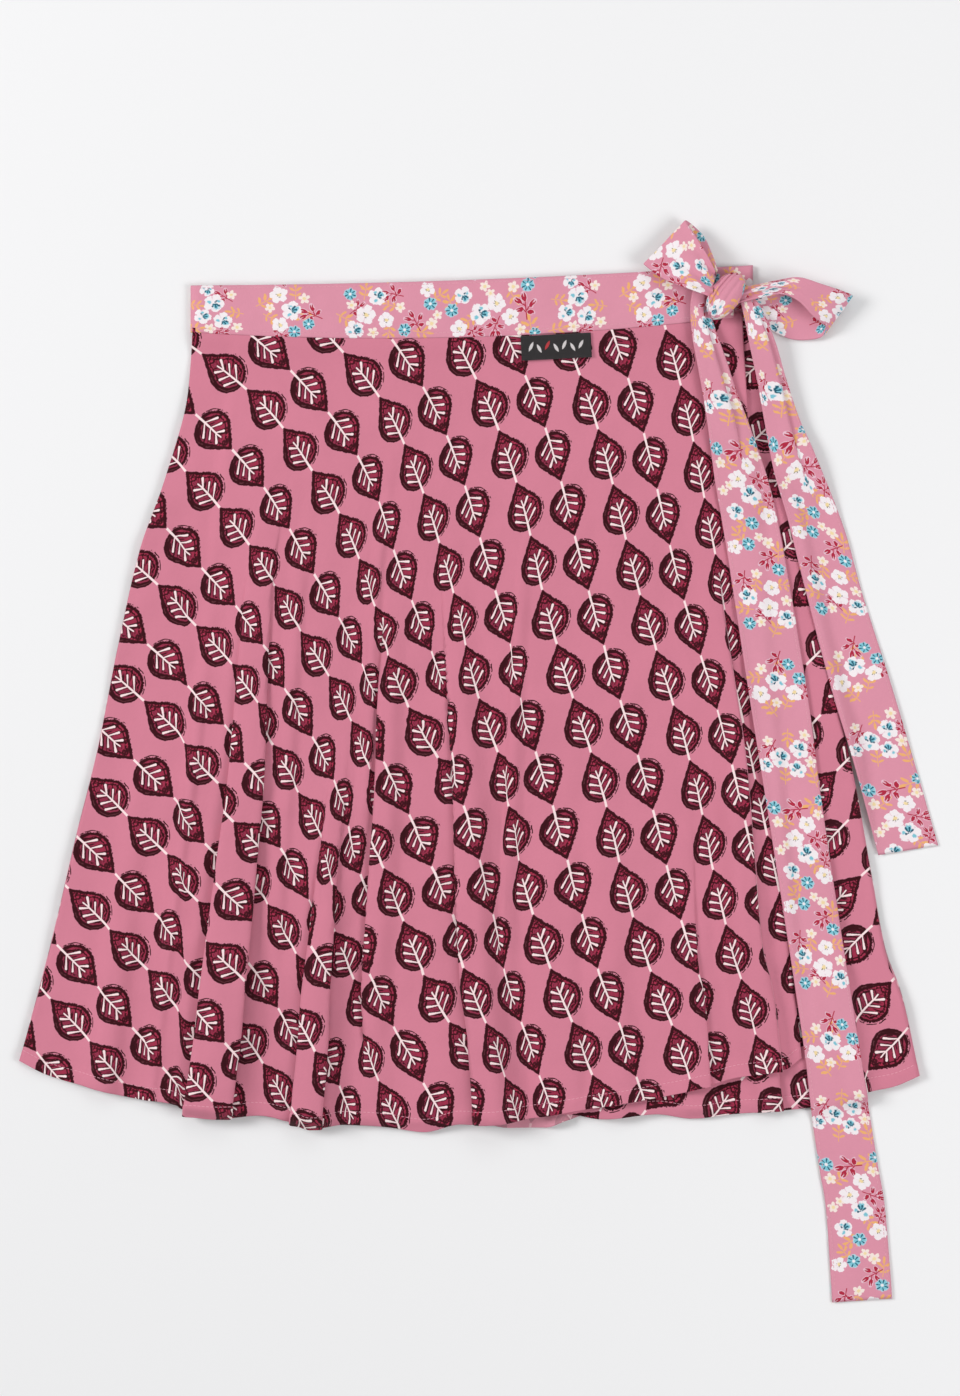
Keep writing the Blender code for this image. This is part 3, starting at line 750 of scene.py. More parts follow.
def labelCloth(name):
    material = emptyMaterial(name)
    place = clothPlace()
    _, y, _ = splitAxes(place)
    ink = labelWeave["ground"]
    wobble = minus(noise(place, 1.2, 1.0), 0.5)
    for centreX, centreY, turn, length, red in labelWeave["leaves"]:
        rel = vec("SUBTRACT", place, (centreX, centreY, 0.0))
        angle = math.radians(turn)
        onAxis = vec("DOT_PRODUCT", rel, (math.cos(angle), math.sin(angle), 0.0))
        aside = absolute(vec("DOT_PRODUCT", rel, (-math.sin(angle), math.cos(angle), 0.0)))
        part = calc("DIVIDE", absolute(onAxis), 0.5 * length)
        room = times(minus(1.0, times(part, part)), 1.15)
        room = minus(timesPlus(wobble, 0.4, room), aside)
        ink = blendColour(step(room, 0.0, 0.15), ink, labelWeave["red" if red else "white"])
    ribs = calc("SINE", times(y, 2.0 * math.pi / 0.4))
    threads = noise(vec("MULTIPLY", place, (0.6, 4.0, 1.0)), 1.0, 2.0)
    tone = vec("SCALE", ink, timesPlus(threads, 0.5, 0.75))
    finishShader(tone, timesPlus(threads, 0.2, 0.42), ribs, 0.00008, 0.1)
    return material


leafRight = leafCloth("leafPrintCotton", 0.0)
leafReverse = leafCloth("leafPrintReverse", 0.62)
flowerRight = flowerCloth("flowerPrintCotton")
pinkThread = plainThread("pinkThread", colour(226, 160, 176))
blackSatin = labelCloth("blackWovenSatin")
print("cloths mixed")


# outline of the skirt

outline = {
    "waistSeam": (0.2976, 0.0327, 0.241),     # level, tilt, sag: y = level + tilt x + sag x x
    "bandTop": (0.3377, 0.0373, 0.084),
    "bandLeft": -0.2016,
    "bandRight": 0.1915,
    "bandFrontRight": 0.1780,
    "bandUnderLeft": -0.1650,
    "sideLeft": ((0.0, -0.2002), (0.08, -0.2037), (0.19, -0.2191), (0.29, -0.2373), (0.42, -0.2527),
                 (0.57, -0.2681), (0.67, -0.2807), (0.82, -0.2982), (1.0, -0.3213)),
    "sideRight": ((0.0, 0.1915), (0.10, 0.2002), (0.24, 0.2177), (0.37, 0.2331), (0.47, 0.2457),
                  (0.60, 0.2618), (0.73, 0.2744), (0.83, 0.2842), (0.89, 0.2954), (1.0, 0.3080)),
    "outerEdge": ((0.0, 0.1841), (0.35, 0.1946), (0.69, 0.2100), (1.0, 0.2254)),
    "underEdge": ((0.0, -0.1650), (1.0, -0.2250)),
    "hemOuter": ((-0.3213, -0.2083), (-0.3017, -0.2181), (-0.2751, -0.2258), (-0.2373, -0.2349),
                 (-0.2110, -0.2384), (-0.2040, -0.2462), (-0.1799, -0.2482), (-0.1568, -0.2461),
                 (-0.1323, -0.2500), (-0.1176, -0.2559), (-0.0945, -0.2524), (-0.0672, -0.2538),
                 (-0.0385, -0.2580), (-0.0119, -0.2517), (0.0042, -0.2517), (0.0441, -0.2468),
                 (0.0868, -0.2398), (0.1365, -0.2314), (0.1813, -0.2195), (0.2142, -0.2139),
                 (0.2254, -0.2062)),
    "hemUnder": ((-0.2250, -0.2320), (-0.1000, -0.2460), (0.0000, -0.2460), (0.0609, -0.2454),
                 (0.0840, -0.2489), (0.1246, -0.2454), (0.1490, -0.2486), (0.1785, -0.2454),
                 (0.2296, -0.2412), (0.2702, -0.2300), (0.2891, -0.2265), (0.3080, -0.2187)),
    "hemBack": ((-0.3213, -0.2083), (-0.2500, -0.2280), (-0.1500, -0.2430), (-0.0500, -0.2490),
                (0.0042, -0.2524), (0.0210, -0.2552), (0.0469, -0.2552), (0.0609, -0.2500),
                (0.0900, -0.2430), (0.2000, -0.2360), (0.2900, -0.2225), (0.3080, -0.2187)),
}


def level(curve, x):
    return curve[0] + curve[1] * x + curve[2] * x * x


# Folds run from waist to hem. waist, middle, hem: part of the way from the left to the right side line;
# begin, full, fade: where on the way down a fold starts, stands full and dies out; half, left, right:
# half width and flanks; back, under, outer: height each panel adds; rollLeft, rollRight: how far the
# edge rolls over its neighbour; hidden: degrees of the flare tucked away in it.
foldColumns = ("waist", "middle", "hem", "begin", "full", "fade", "half", "left", "right",
               "back", "under", "outer", "rollLeft", "rollRight", "hidden")
folds = (
    (0.059, 0.063, 0.091, 0.45, 1.00, 9.0, 0.014, 0.012, 0.012, 0.0025, 0.0000, 0.0025, 0.000, 0.000, 0.5),
    (0.162, 0.195, 0.206, 0.10, 0.90, 9.0, 0.017, 0.010, 0.006, 0.0030, 0.0020, 0.0075, 0.005, 0.006, 4.0),
    (0.343, 0.322, 0.318, 0.45, 0.95, 9.0, 0.010, 0.006, 0.005, 0.0020, 0.0020, 0.0060, 0.005, 0.005, 5.0),
    (0.392, 0.394, 0.395, 0.30, 0.50, 0.8, 0.013, 0.004, 0.018, 0.0000, 0.0000, 0.0040, 0.004, 0.000, 2.0),
    (0.451, 0.4955, 0.535, 0.20, 0.80, 9.0, 0.015, 0.004, 0.020, 0.0025, 0.0020, 0.0060, 0.007, 0.000, 4.0),
    (0.640, 0.562, 0.555, 0.20, 0.45, 0.7, 0.010, 0.006, 0.012, 0.0000, 0.0000, 0.0020, 0.000, 0.000, 1.5),
    (0.680, 0.620, 0.600, 0.42, 1.00, 9.0, 0.012, 0.012, 0.008, 0.0040, 0.0000, 0.0000, 0.000, 0.000, 1.0),
    (0.765, 0.685, 0.665, 0.40, 1.00, 9.0, 0.018, 0.018, 0.018, 0.0000, 0.0030, 0.0010, 0.000, 0.000, 0.5),
    (0.834, 0.784, 0.754, 0.50, 1.00, 9.0, 0.012, 0.012, 0.010, 0.0030, 0.0000, 0.0030, 0.000, 0.003, 1.0),
    (0.883, 0.847, 0.830, 0.20, 0.60, 9.0, 0.013, 0.012, 0.008, 0.0000, 0.0040, 0.0020, 0.000, 0.004, 2.5),
    (0.955, 0.935, 0.935, 0.50, 1.00, 9.0, 0.010, 0.010, 0.010, 0.0030, 0.0015, 0.0000, 0.000, 0.000, 1.0),
)


def foldsAt(rows, v, layer):
    # all folds on the cross-section at v, as a dictionary of columns
    table = {name: np.array([row[k] for row in rows]) for k, name in enumerate(foldColumns)}
    bend = 2.0 * (table["waist"] + table["hem"] - 2.0 * table["middle"])
    part = (table["waist"] + (4.0 * table["middle"] - 3.0 * table["waist"] - table["hem"]) * v
            + bend * v * v)
    left = along(outline["sideLeft"], v)
    centre = left + part * (along(outline["sideRight"], v) - left)
    narrow = 0.55 + 0.45 * v
    grown = ease((v - table["begin"]) / (table["full"] - table["begin"]))
    grown = grown * (1.0 - ease((v - table["fade"]) / 0.18))
    tall = table[layer] > 0.0
    return {"start": centre - table["half"] * narrow, "end": centre + table["half"] * narrow,
            "left": table["left"] * narrow, "right": table["right"] * narrow,
            "height": table[layer] * grown, "grown": grown * tall,
            "rollLeft": table["rollLeft"] * grown * tall, "rollRight": table["rollRight"] * grown * tall,
            "leftShare": (table["rollLeft"] + 0.0005) / (table["rollLeft"] + table["rollRight"] + 0.001),
            "sharp": ease(grown * 1.4) * tall, "hidden": table["hidden"] * tall}


# panels

softFolds = (
    (0.236, 0.250, 0.270, 0.16, 0.42, 0.70, 0.012, 0.012, 0.010, 0.0, 0.0, 0.0020, 0.000, 0.000, 1.0),
    (0.365, 0.358, 0.350, 0.12, 0.35, 0.55, 0.009, 0.009, 0.008, 0.0, 0.0, 0.0020, 0.000, 0.000, 1.0),
    (0.120, 0.125, 0.140, 0.30, 0.60, 9.00, 0.009, 0.009, 0.007, 0.0, 0.0, 0.0018, 0.000, 0.000, 0.8),
    (0.500, 0.520, 0.580, 0.40, 0.80, 9.00, 0.012, 0.012, 0.012, 0.0, 0.0, 0.0012, 0.000, 0.000, 0.3),
)
panels = {
    "back_panel": {"left": "sideLeft", "right": "sideRight", "hem": "hemBack", "layer": "back",
                   "folds": folds, "rows": 84, "columns": 210, "bandHeight": 0.0008, "faceDown": True,
                   "grain": (-26.0, 26.0), "mirror": False, "seed": 3, "place": (0.0, 0.0)},
    "under_front_panel": {"left": "underEdge", "right": "sideRight", "hem": "hemUnder", "layer": "under",
                          "folds": folds[2:], "rows": 96, "columns": 230, "bandHeight": 0.0027,
                          "faceDown": False, "grain": (11.0, 59.0), "mirror": True, "seed": 5,
                          "place": (0.0, 0.0)},
    "outer_front_panel": {"left": "sideLeft", "right": "outerEdge", "hem": "hemOuter", "layer": "outer",
                          "folds": folds[:-1] + softFolds, "rows": 126, "columns": 348, "bandHeight": 0.0046,
                          "faceDown": False, "grain": (59.0, 7.0), "mirror": False, "seed": 8,
                          "place": (0.0, 0.0)},
}
panelCut = {
    "waistRadius": 0.4275,      # the flare is cut as part of a ring
    "length": 0.540,
    "cloth": 0.00045,
    "turnedHem": 0.0080,        # depth of the turned hem
    "spread": 0.030,            # half width that hidden cloth is spread over where a fold hasn't formed
    "unevenness": 0.0022,
    "fineShare": 0.40,          # of that, in small waves
    "shown": 0.52,              # length below the band
    "hemCloth": 0.0009,         # two layers
    "bandReach": 0.016,         # the cloth comes up to the band over this length
    "eased": (0.3, 24.0),       # spread evenly over a row: everywhere, and more near the waist
    "gap": 0.00025,
}


def panelRows(spec):
    # stations from waist to hem, closer together at the band and at the turned hem
    hem = 1.0 - panelCut["turnedHem"] / panelCut["shown"]
    top = np.array([-0.006, 0.0, 0.006, 0.013, 0.020, 0.027])
    end = np.array([hem - 0.0012, hem, hem + 0.004, hem + 0.008, 0.9965, 0.9990, 1.0])
    body = np.linspace(0.035, hem - 0.006, spec["rows"] - len(top) - len(end))
    return np.concatenate((top, body, end)), len(top) + len(body)


def buildPanel(name):
    spec = panels[name]
    top = pileTop(3)
    stations, stitchAt = panelRows(spec)
    grid = np.zeros((len(stations), spec["columns"], 3))
    uv = np.zeros((len(stations), spec["columns"], 2))
    share = np.linspace(0.0, 1.0, spec["columns"])
    grainStart, grainEnd = (math.radians(a) for a in spec["grain"])
    for i, v in enumerate(stations):
        inRow = max(v, 0.0)
        left = float(along(outline[spec["left"]], inRow))
        right = float(along(outline[spec["right"]], inRow))
        fold = foldsAt(spec["folds"], inRow, spec["layer"])
        # more columns where the cloth rolls over
        fine = np.linspace(left, right, 1600)
        weight = np.ones_like(fine)
        for k in range(len(fold["start"])):
            for begin, width, roll in ((fold["start"][k], fold["left"][k], fold["rollLeft"][k]),
                                       (fold["end"][k] - fold["right"][k], fold["right"][k],
                                        fold["rollRight"][k])):
                middle = begin + 0.5 * width
                extra = (0.4 + 3.2 * min(roll / 0.004, 1.3)) * fold["grown"][k]
                weight += extra * np.exp(-((fine - middle) / (0.75 * width)) ** 2)
        ordered = np.concatenate(([0.0], np.cumsum(0.5 * (weight[1:] + weight[:-1]))))
        x = np.interp(share * ordered[-1], ordered, fine)
        stand = np.zeros_like(x)
        roll = np.zeros_like(x)
        loose = 1.0 - ease((inRow - 0.05) / 0.45)
        tucked = (panelCut["eased"][0] + panelCut["eased"][1] * loose) * (x - left) / (right - left)
        for k in range(len(fold["start"])):
            onLeft = np.clip((x - fold["start"][k]) / fold["left"][k], 0.0, 1.0)
            onRight = np.clip((x - fold["end"][k] + fold["right"][k]) / fold["right"][k], 0.0, 1.0)
            stand += fold["height"][k] * ease(onLeft) * (1.0 - ease(onRight))
            crown = np.clip((x - fold["start"][k]) / (fold["end"][k] - fold["start"][k]), 0.0, 1.0)
            stand += 0.12 * fold["height"][k] * np.sin(math.pi * crown) ** 2
            roll += fold["rollLeft"][k] * np.sin(2.0 * math.pi * onLeft)
            roll += fold["rollRight"][k] * np.sin(2.0 * math.pi * onRight)
            # the flare it hides: spread wide near the waist, gathered into its rolled edges lower down
            for begin, width, part in ((fold["start"][k], fold["left"][k], fold["leftShare"][k]),
                                       (fold["end"][k] - fold["right"][k], fold["right"][k],
                                        1.0 - fold["leftShare"][k])):
                reach = panelCut["spread"] + (0.30 * width - panelCut["spread"]) * fold["sharp"][k]
                tucked += fold["hidden"][k] * part * ease((x - begin - 0.5 * width) / (2.0 * reach) + 0.5)
        shiftedX = x + roll
        seam = level(outline["waistSeam"], x)
        y = seam + (along(outline[spec["hem"]], x) - seam) * v
        below = heightOn(top, shiftedX, y)
        below = np.where(below > 0.0, below + panelCut["gap"], 0.0)
        uneven = softWaves(x, 0.35 * y, spec["seed"], 0.05, 0.16) * panelCut["unevenness"]
        small = panelCut["fineShare"] * panelCut["unevenness"]
        uneven += softWaves(x, y, spec["seed"] + 20, 0.02, 0.06) * small
        z = below + stand + uneven * ease(inRow / 0.15)
        z = z + panelCut["cloth"] * np.clip(0.6 - np.gradient(shiftedX, x), 0.0, 1.0)   # turned over there
        toBand = 1.0 - ease((seam - y) / panelCut["bandReach"])
        z = z + (spec["bandHeight"] - 0.5 * panelCut["cloth"] - z) * toBand
        grid[i] = np.stack((shiftedX, y, z), axis=1)
        # place on the flat cut: arc length, with what the folds hide added in their flanks
        arc = np.concatenate(([0.0], np.cumsum(np.linalg.norm(np.diff(grid[i], axis=0), axis=1))))
        radius = panelCut["waistRadius"] + panelCut["length"] * v
        spare = abs(grainEnd - grainStart) - arc[-1] / radius
        turned = arc / radius + spare * tucked / tucked[-1]
        theta = grainStart + np.sign(grainEnd - grainStart) * turned
        side = 1.0 if spec["mirror"] or spec["faceDown"] else -1.0
        uv[i, :, 0] = side * radius * np.sin(theta) + spec["place"][0]
        uv[i, :, 1] = -radius * np.cos(theta) + spec["place"][1]
    grid[..., 0] += shiftX
    grid[..., 1] += shiftY
    layDown(grid, panelCut["cloth"])
    piece = clothMesh(name + "_cloth", grid, uv, faceDown=spec["faceDown"])
    turnedRows = range(stitchAt + 1, len(stations))
    thick = [i * spec["columns"] + j for i in turnedRows for j in range(spec["columns"])]
    dress(piece, panelCut["hemCloth"], (leafRight, leafReverse), offset=-1.0 if spec["faceDown"] else 1.0,
          thinner={"thick": thick, "factor": panelCut["cloth"] / panelCut["hemCloth"]})
    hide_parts(name)
    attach(piece, "root")
    stitches = stitchRow(name + "_hem_stitches", grid[stitchAt], panelCut["cloth"], hemStitch)
    finishStitches(stitches)
    print(name, "laid,", len(stations), "by", spec["columns"])
    return piece, stitches


hemStitch = {"pitch": 0.0030, "length": 0.0022, "width": 0.00045, "height": 0.00016}


def finishStitches(piece):
    piece.data.materials.append(pinkThread)
    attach(piece, "root")


for name in ("back_panel", "under_front_panel", "outer_front_panel"):
    buildPanel(name)


# waistband: three lengths of folded strip

bands = {
    "waistband_back": {"start": "bandLeft", "end": "bandRight", "low": 0.0, "place": 0.000, "bend": 0.0007},
    "waistband_under": {"start": "bandUnderLeft", "end": "bandRight", "low": 0.0019, "place": 0.110,
                        "bend": 0.0},
    "waistband_front": {"start": "bandLeft", "end": "bandFrontRight", "low": 0.0038, "place": 0.031,
                        "bend": -0.0012},
}
bandMake = {
    "thick": 0.0016,
    "cloth": 0.0003,
    "strip": 0.040,            # half of the strip it is folded from
    "depth": 0.038,
    "steps": 150,
    "sides": 13,
    "topStitch": 0.0022,       # from the top fold
    "lowStitch": 0.0016,       # from the lower edge
}


def buildBand(name):
    spec = bands[name]
    start = outline[spec["start"]]
    end = outline[spec["end"]]
    x = np.linspace(start, end, bandMake["steps"])
    top = level(outline["bandTop"], x)
    low = level(outline["waistSeam"], x)
    q = 0.5 - 0.5 * np.cos(np.linspace(0.0, math.pi, bandMake["sides"]))
    q[0] = 0.0
    half = 0.5 * bandMake["thick"]
    profile = (1.0 - np.abs(2.0 * q - 1.0) ** 14) ** (1.0 / 14)
    profile[0] = 0.55                                 # lower edges stay apart for the panel between them
    columns = 2 * bandMake["sides"] - 1
    grid = np.zeros((len(x), columns, 3))
    uv = np.zeros((len(x), columns, 2))
    nearEnd = ease((x - start) / 0.0016) * ease((end - x) / 0.0016)
    turn = spec["bend"] * (1.0 - ease((x - start) / 0.006))
    wideX = x[:, None] + 0.0 * q
    puckers = (softWaves(wideX, (low[:, None] + q * 0.1) * 0.6, 31, 0.012, 0.05) - 0.5) * 0.0005
    puckers = puckers + (softWaves(wideX, q * 0.02 + 0.0 * x[:, None], 37, 0.05, 0.15) - 0.5) * 0.0004
    for k in range(columns):
        upper = k >= bandMake["sides"] - 1
        m = 2 * (bandMake["sides"] - 1) - k if upper else k
        y = low + (top - low) * q[m]
        middle = spec["low"] + half + turn
        sign = 1.0 if upper else -1.0
        z = middle + sign * half * profile[m] * (0.25 + 0.75 * nearEnd)
        if upper and name == "waistband_front":
            z = z + puckers[:, m] * np.clip(profile[m], 0.0, 1.0) * nearEnd
        grid[:, k] = np.stack((x, y, z), axis=1)
        uv[:, k, 0] = bandMake["strip"] * (1.0 - q[m] if upper else 1.0 + q[m])
        uv[:, k, 1] = x + 0.5 + spec["place"]
    grid[..., 0] += shiftX
    grid[..., 1] += shiftY
    layDown(grid[:, bandMake["sides"] - 1:], 0.0)
    piece = clothMesh(name + "_cloth", grid, uv, faceDown=True)
    dress(piece, bandMake["cloth"], (flowerRight,), offset=-1.0)
    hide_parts(name)
    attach(piece, "root")
    extra = []
    if name != "waistband_under":
        lowStitch = bandMake["depth"] - bandMake["lowStitch"]
        for line, away in (("top", bandMake["topStitch"]), ("low", lowStitch)):
            part = 1.0 - away / bandMake["strip"]
            upperGrid = grid[:, bandMake["sides"] - 1:][:, ::-1]
            if name == "waistband_back":
                upperGrid = grid[:, :bandMake["sides"]]
            points = np.array([[np.interp(part, q, row[:, c]) for c in range(3)] for row in upperGrid])
            if name == "waistband_back":
                points[:, 2] += 0.0002
            row = stitchRow(name + "_" + line + "_stitches", points[2:-2],
                            -0.0002 if name == "waistband_back" else 0.0, hemStitch)
            finishStitches(row)
            extra.append(row)
    print(name, "sewn")
    return piece, extra


for name in ("waistband_back", "waistband_under", "waistband_front"):
    buildBand(name)


# ties, bow and label: tubes of doubled cloth

def stripStations(count):
    # from 0 to 1 across a strip, closer together at its edges
    rounded = 0.5 - 0.5 * np.cos(np.linspace(0.0, math.pi, count))
    return 0.65 * rounded + 0.35 * np.linspace(0.0, 1.0, count)


def tubeFromSections(name, middle, normal, place, closedEnd=False):
    # a strip folded double; middle, normal: points across each cross-section and the way up there
    rows, sides = middle.shape[:2]
    width = tieMake["width"]
    q = stripStations(sides)
    flat = (1.0 - np.abs(2.0 * q - 1.0) ** 10) ** (1.0 / 10)
    flat[0] = flat[-1] = 0.0
    half = 0.5 * tieMake["thick"] * flat[None, :, None] * np.ones((rows, 1, 1))
    if closedEnd:
        half[-1] *= 0.35
    upper = middle + normal * half
    lower = middle - normal * half
    around = np.concatenate((upper, lower[:, -2:0:-1]), axis=1)
    line = 0.5 * (middle[:, 0] + middle[:, -1])
    way = np.concatenate(([0.0], np.cumsum(np.linalg.norm(np.diff(line, axis=0), axis=1))))
    acrossUv = np.concatenate((q * width, (2.0 * width) - q[-2:0:-1] * width, [2.0 * width]))
    uv = np.zeros((rows, around.shape[1] + 1, 2))
    uv[..., 0] = acrossUv[None]
    uv[..., 1] = place - way[:, None]
    outward = (np.cross(np.gradient(upper, axis=0), np.gradient(upper, axis=1)) * normal).sum() > 0.0
    piece = clothMesh(name, around, uv, faceDown=not outward, roundTube=True)
    return piece, upper


ties = {
    # rows: left x, y, right x, y, least height, width folded under, drop of the folded part
    "tie_tail_front": {
        "rows": ((0.1530, 0.3400, 0.1640, 0.3370, 0.0064, 0.0020, 0.0015),
                 (0.1488, 0.3283, 0.1625, 0.3250, 0.0064, 0.0022, 0.0018),
                 (0.1472, 0.3180, 0.1612, 0.3150, 0.0062, 0.0026, 0.0022),
                 (0.1476, 0.3070, 0.1640, 0.3060, 0.0060, 0.0030, 0.0024),
                 (0.1490, 0.2950, 0.1678, 0.2950, 0.0058, 0.0034, 0.0024),
                 (0.1522, 0.2780, 0.1738, 0.2780, 0.0054, 0.0042, 0.0024),
                 (0.1556, 0.2590, 0.1800, 0.2590, 0.0050, 0.0050, 0.0024),
                 (0.1590, 0.2370, 0.1883, 0.2370, 0.0046, 0.0050, 0.0022),
                 (0.1645, 0.1964, 0.2023, 0.1964, 0.0050, 0.0000, 0.0008),
                 (0.1722, 0.1523, 0.2121, 0.1523, 0.0, 0.0, 0.0),
                 (0.1876, 0.0515, 0.2289, 0.0515, 0.0, 0.0, 0.0),
                 (0.1995, -0.0235, 0.2387, -0.0235, 0.0, 0.0, 0.0),
                 (0.2128, -0.1075, 0.2513, -0.1075, 0.0, 0.0, 0.0),
                 (0.2268, -0.1985, 0.2653, -0.1985, 0.0, 0.0, 0.0),
                 (0.2317, -0.2398, 0.2723, -0.2398, 0.0, 0.0, 0.0),
                 (0.2380, -0.2832, 0.2793, -0.2832, 0.0, 0.0, 0.0),
                 (0.2429, -0.3140, 0.2842, -0.3126, 0.0, 0.0, 0.0),
                 (0.2471, -0.3777, 0.2891, -0.3749, 0.0, 0.0, 0.0)),
        "steps": 240, "place": 0.180, "seed": 41},
    "tie_tail_side": {
        "rows": ((0.1800, 0.3290, 0.1870, 0.3290, 0.0098, 0.0010, 0.0010),
                 (0.1841, 0.3130, 0.1962, 0.3180, 0.0092, 0.0030, 0.0016),
                 (0.1885, 0.2911, 0.2068, 0.2935, 0.0080, 0.0050, 0.0020),
                 (0.1936, 0.2680, 0.2144, 0.2680, 0.0065, 0.0060, 0.0020),
                 (0.1991, 0.2380, 0.2240, 0.2400, 0.0050, 0.0050, 0.0020),
                 (0.2058, 0.2034, 0.2345, 0.2160, 0.0050, 0.0030, 0.0015),
                 (0.2156, 0.1698, 0.2548, 0.1656, 0.0, 0.0, 0.0006),
                 (0.2268, 0.1250, 0.2681, 0.1187, 0.0, 0.0, 0.0),
                 (0.2464, 0.0500, 0.2863, 0.0613, 0.0, 0.0, 0.0),
                 (0.2632, -0.0060, 0.3052, -0.0018, 0.0, 0.0, 0.0),
                 (0.2793, -0.0648, 0.3213, -0.0578, 0.0, 0.0, 0.0)),
        "steps": 170, "place": 0.420, "seed": 43},
}
tieMake = {"thick": 0.0010, "cloth": 0.00025, "width": 0.040, "stitchIn": 0.0024, "points": 25}


def buildTie(name):
    spec = ties[name]
    table = sweep(spec["rows"], np.linspace(0.0, 1.0, spec["steps"]))
    leftEdge = table[:, 0:2]
    rightEdge = table[:, 2:4]
    least, under, drop = (np.maximum(table[:, k], 0.0) for k in (4, 5, 6))
    points = tieMake["points"]
    q = stripStations(points)
    across = rightEdge - leftEdge
    wide = np.linalg.norm(across, axis=1)
    unit = across / wide[:, None]
    # part of the strip folds back under itself near the knot
    t = np.clip((q - 0.35) / 0.55, 0.0, 1.0)
    sideways = q[None] * wide[:, None] + under[:, None] * np.sin(2.0 * math.pi * t)[None]
    x = leftEdge[:, 0:1] + unit[:, 0:1] * sideways
    y = leftEdge[:, 1:2] + unit[:, 1:2] * sideways
    top = pileTop(3)
    rest = heightOn(top, x + shiftX, y + shiftY)
    rest = np.where(rest > 0.0, rest + 0.0002, 0.0)
    z = np.maximum(rest, least[:, None]) + 0.5 * tieMake["thick"]
    z = z + drop[:, None] * (1.0 - ease(t))[None]
    wave = softWaves(x, y, spec["seed"], 0.05, 0.16) * 0.0010
    wave += softWaves(x * 1.4, y * 0.5, spec["seed"] + 1, 0.02, 0.05) * 0.0004
    z = z + wave
    middle = np.stack((x + shiftX, y + shiftY, z), axis=2)
    down = np.gradient(middle, axis=0)
    over = np.gradient(middle, axis=1)
    normal = np.cross(over, -down)
    normal /= np.linalg.norm(normal, axis=2, keepdims=True)
    piece, upper = tubeFromSections(name + "_cloth", middle, normal, spec["place"], closedEnd=True)
    dress(piece, tieMake["cloth"], (flowerRight,), offset=-1.0)
    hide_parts(name)
    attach(piece, "root")
    stitches = []
    inset = tieMake["stitchIn"] / tieMake["width"]
    for edge, part in (("left", inset), ("right", 1.0 - inset)):
        line = np.array([[np.interp(part, q, row[:, c]) for c in range(3)] for row in upper])
        row = stitchRow(name + "_" + edge + "_stitches", line[6:-2], 0.0, hemStitch)
        finishStitches(row)
        stitches.append(row)
    layDown(middle, 0.5 * tieMake["thick"])
    print(name, "laid")
    return piece, stitches


for name in ("tie_tail_front", "tie_tail_side"):
    buildTie(name)


# loops: near edge x, y, z and far edge x, y, z; out on the lower layer and back on the upper one
loops = {
    "bow_loop_left": {
        "rows": ((0.1620, 0.3270, 0.0088, 0.1665, 0.3440, 0.0088),
                 (0.1450, 0.3325, 0.0082, 0.1630, 0.3545, 0.0080),
                 (0.1300, 0.3390, 0.0082, 0.1562, 0.3685, 0.0072),
                 (0.1148, 0.3475, 0.0112, 0.1444, 0.3784, 0.0090),
                 (0.1290, 0.3362, 0.0160, 0.1512, 0.3662, 0.0148),
                 (0.1450, 0.3300, 0.0180, 0.1588, 0.3530, 0.0172),
                 (0.1620, 0.3240, 0.0160, 0.1640, 0.3420, 0.0160)),
        "place": 0.090, "pleats": 2.5},
    "bow_loop_right": {
        "rows": ((0.1860, 0.3120, 0.0076, 0.1860, 0.3300, 0.0080),
                 (0.2023, 0.3030, 0.0050, 0.2060, 0.3310, 0.0055),
                 (0.2191, 0.2960, 0.0026, 0.2240, 0.3310, 0.0032),
                 (0.2366, 0.2965, 0.0028, 0.2440, 0.3290, 0.0036),
                 (0.2429, 0.3014, 0.0060, 0.2604, 0.3259, 0.0080),
                 (0.2401, 0.3060, 0.0110, 0.2540, 0.3285, 0.0130),
                 (0.2324, 0.3112, 0.0135, 0.2394, 0.3329, 0.0160),
                 (0.2226, 0.3210, 0.0150, 0.2226, 0.3378, 0.0170),
                 (0.2107, 0.3262, 0.0145, 0.2080, 0.3360, 0.0160),
                 (0.1945, 0.3235, 0.0130, 0.1925, 0.3330, 0.0140),
                 (0.1800, 0.3200, 0.0125, 0.1790, 0.3300, 0.0130)),
        "place": 0.215, "pleats": 2.0},
}


def buildLoop(name):
    spec = loops[name]
    steps = 110
    points = 25
    t = np.linspace(0.0, 1.0, steps)
    table = sweep(spec["rows"], t)
    near = table[:, :3] + (shiftX, shiftY, 0.0)
    far = table[:, 3:] + (shiftX, shiftY, 0.0)
    q = stripStations(points)
    middle = near[:, None] + (far - near)[:, None] * q[None, :, None]
    over = np.gradient(middle, axis=1)
    ahead = np.gradient(middle, axis=0)
    normal = np.cross(over, ahead)
    normal /= np.linalg.norm(normal, axis=2, keepdims=True)
    # pleats gathered at the knot, running out along the loop
    gather = np.exp(-(t / 0.22) ** 2) + np.exp(-((1.0 - t) / 0.28) ** 2)
    pleat = np.sin(2.0 * math.pi * (spec["pleats"] * q[None] + 0.15 * t[:, None])) * gather[:, None] * 0.0015
    crease = (softWaves(middle[..., 0] * 1.3, middle[..., 1], 51, 0.02, 0.06) - 0.5) * 0.0010
    middle = middle + normal * (pleat + crease)[..., None]
    piece, _ = tubeFromSections(name + "_cloth", middle, normal, spec["place"])
    dress(piece, tieMake["cloth"], (flowerRight,), offset=-1.0)
    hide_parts(name)
    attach(piece, "root")
    print(name, "folded")
    return piece


laidLoops = {name: buildLoop(name) for name in loops}

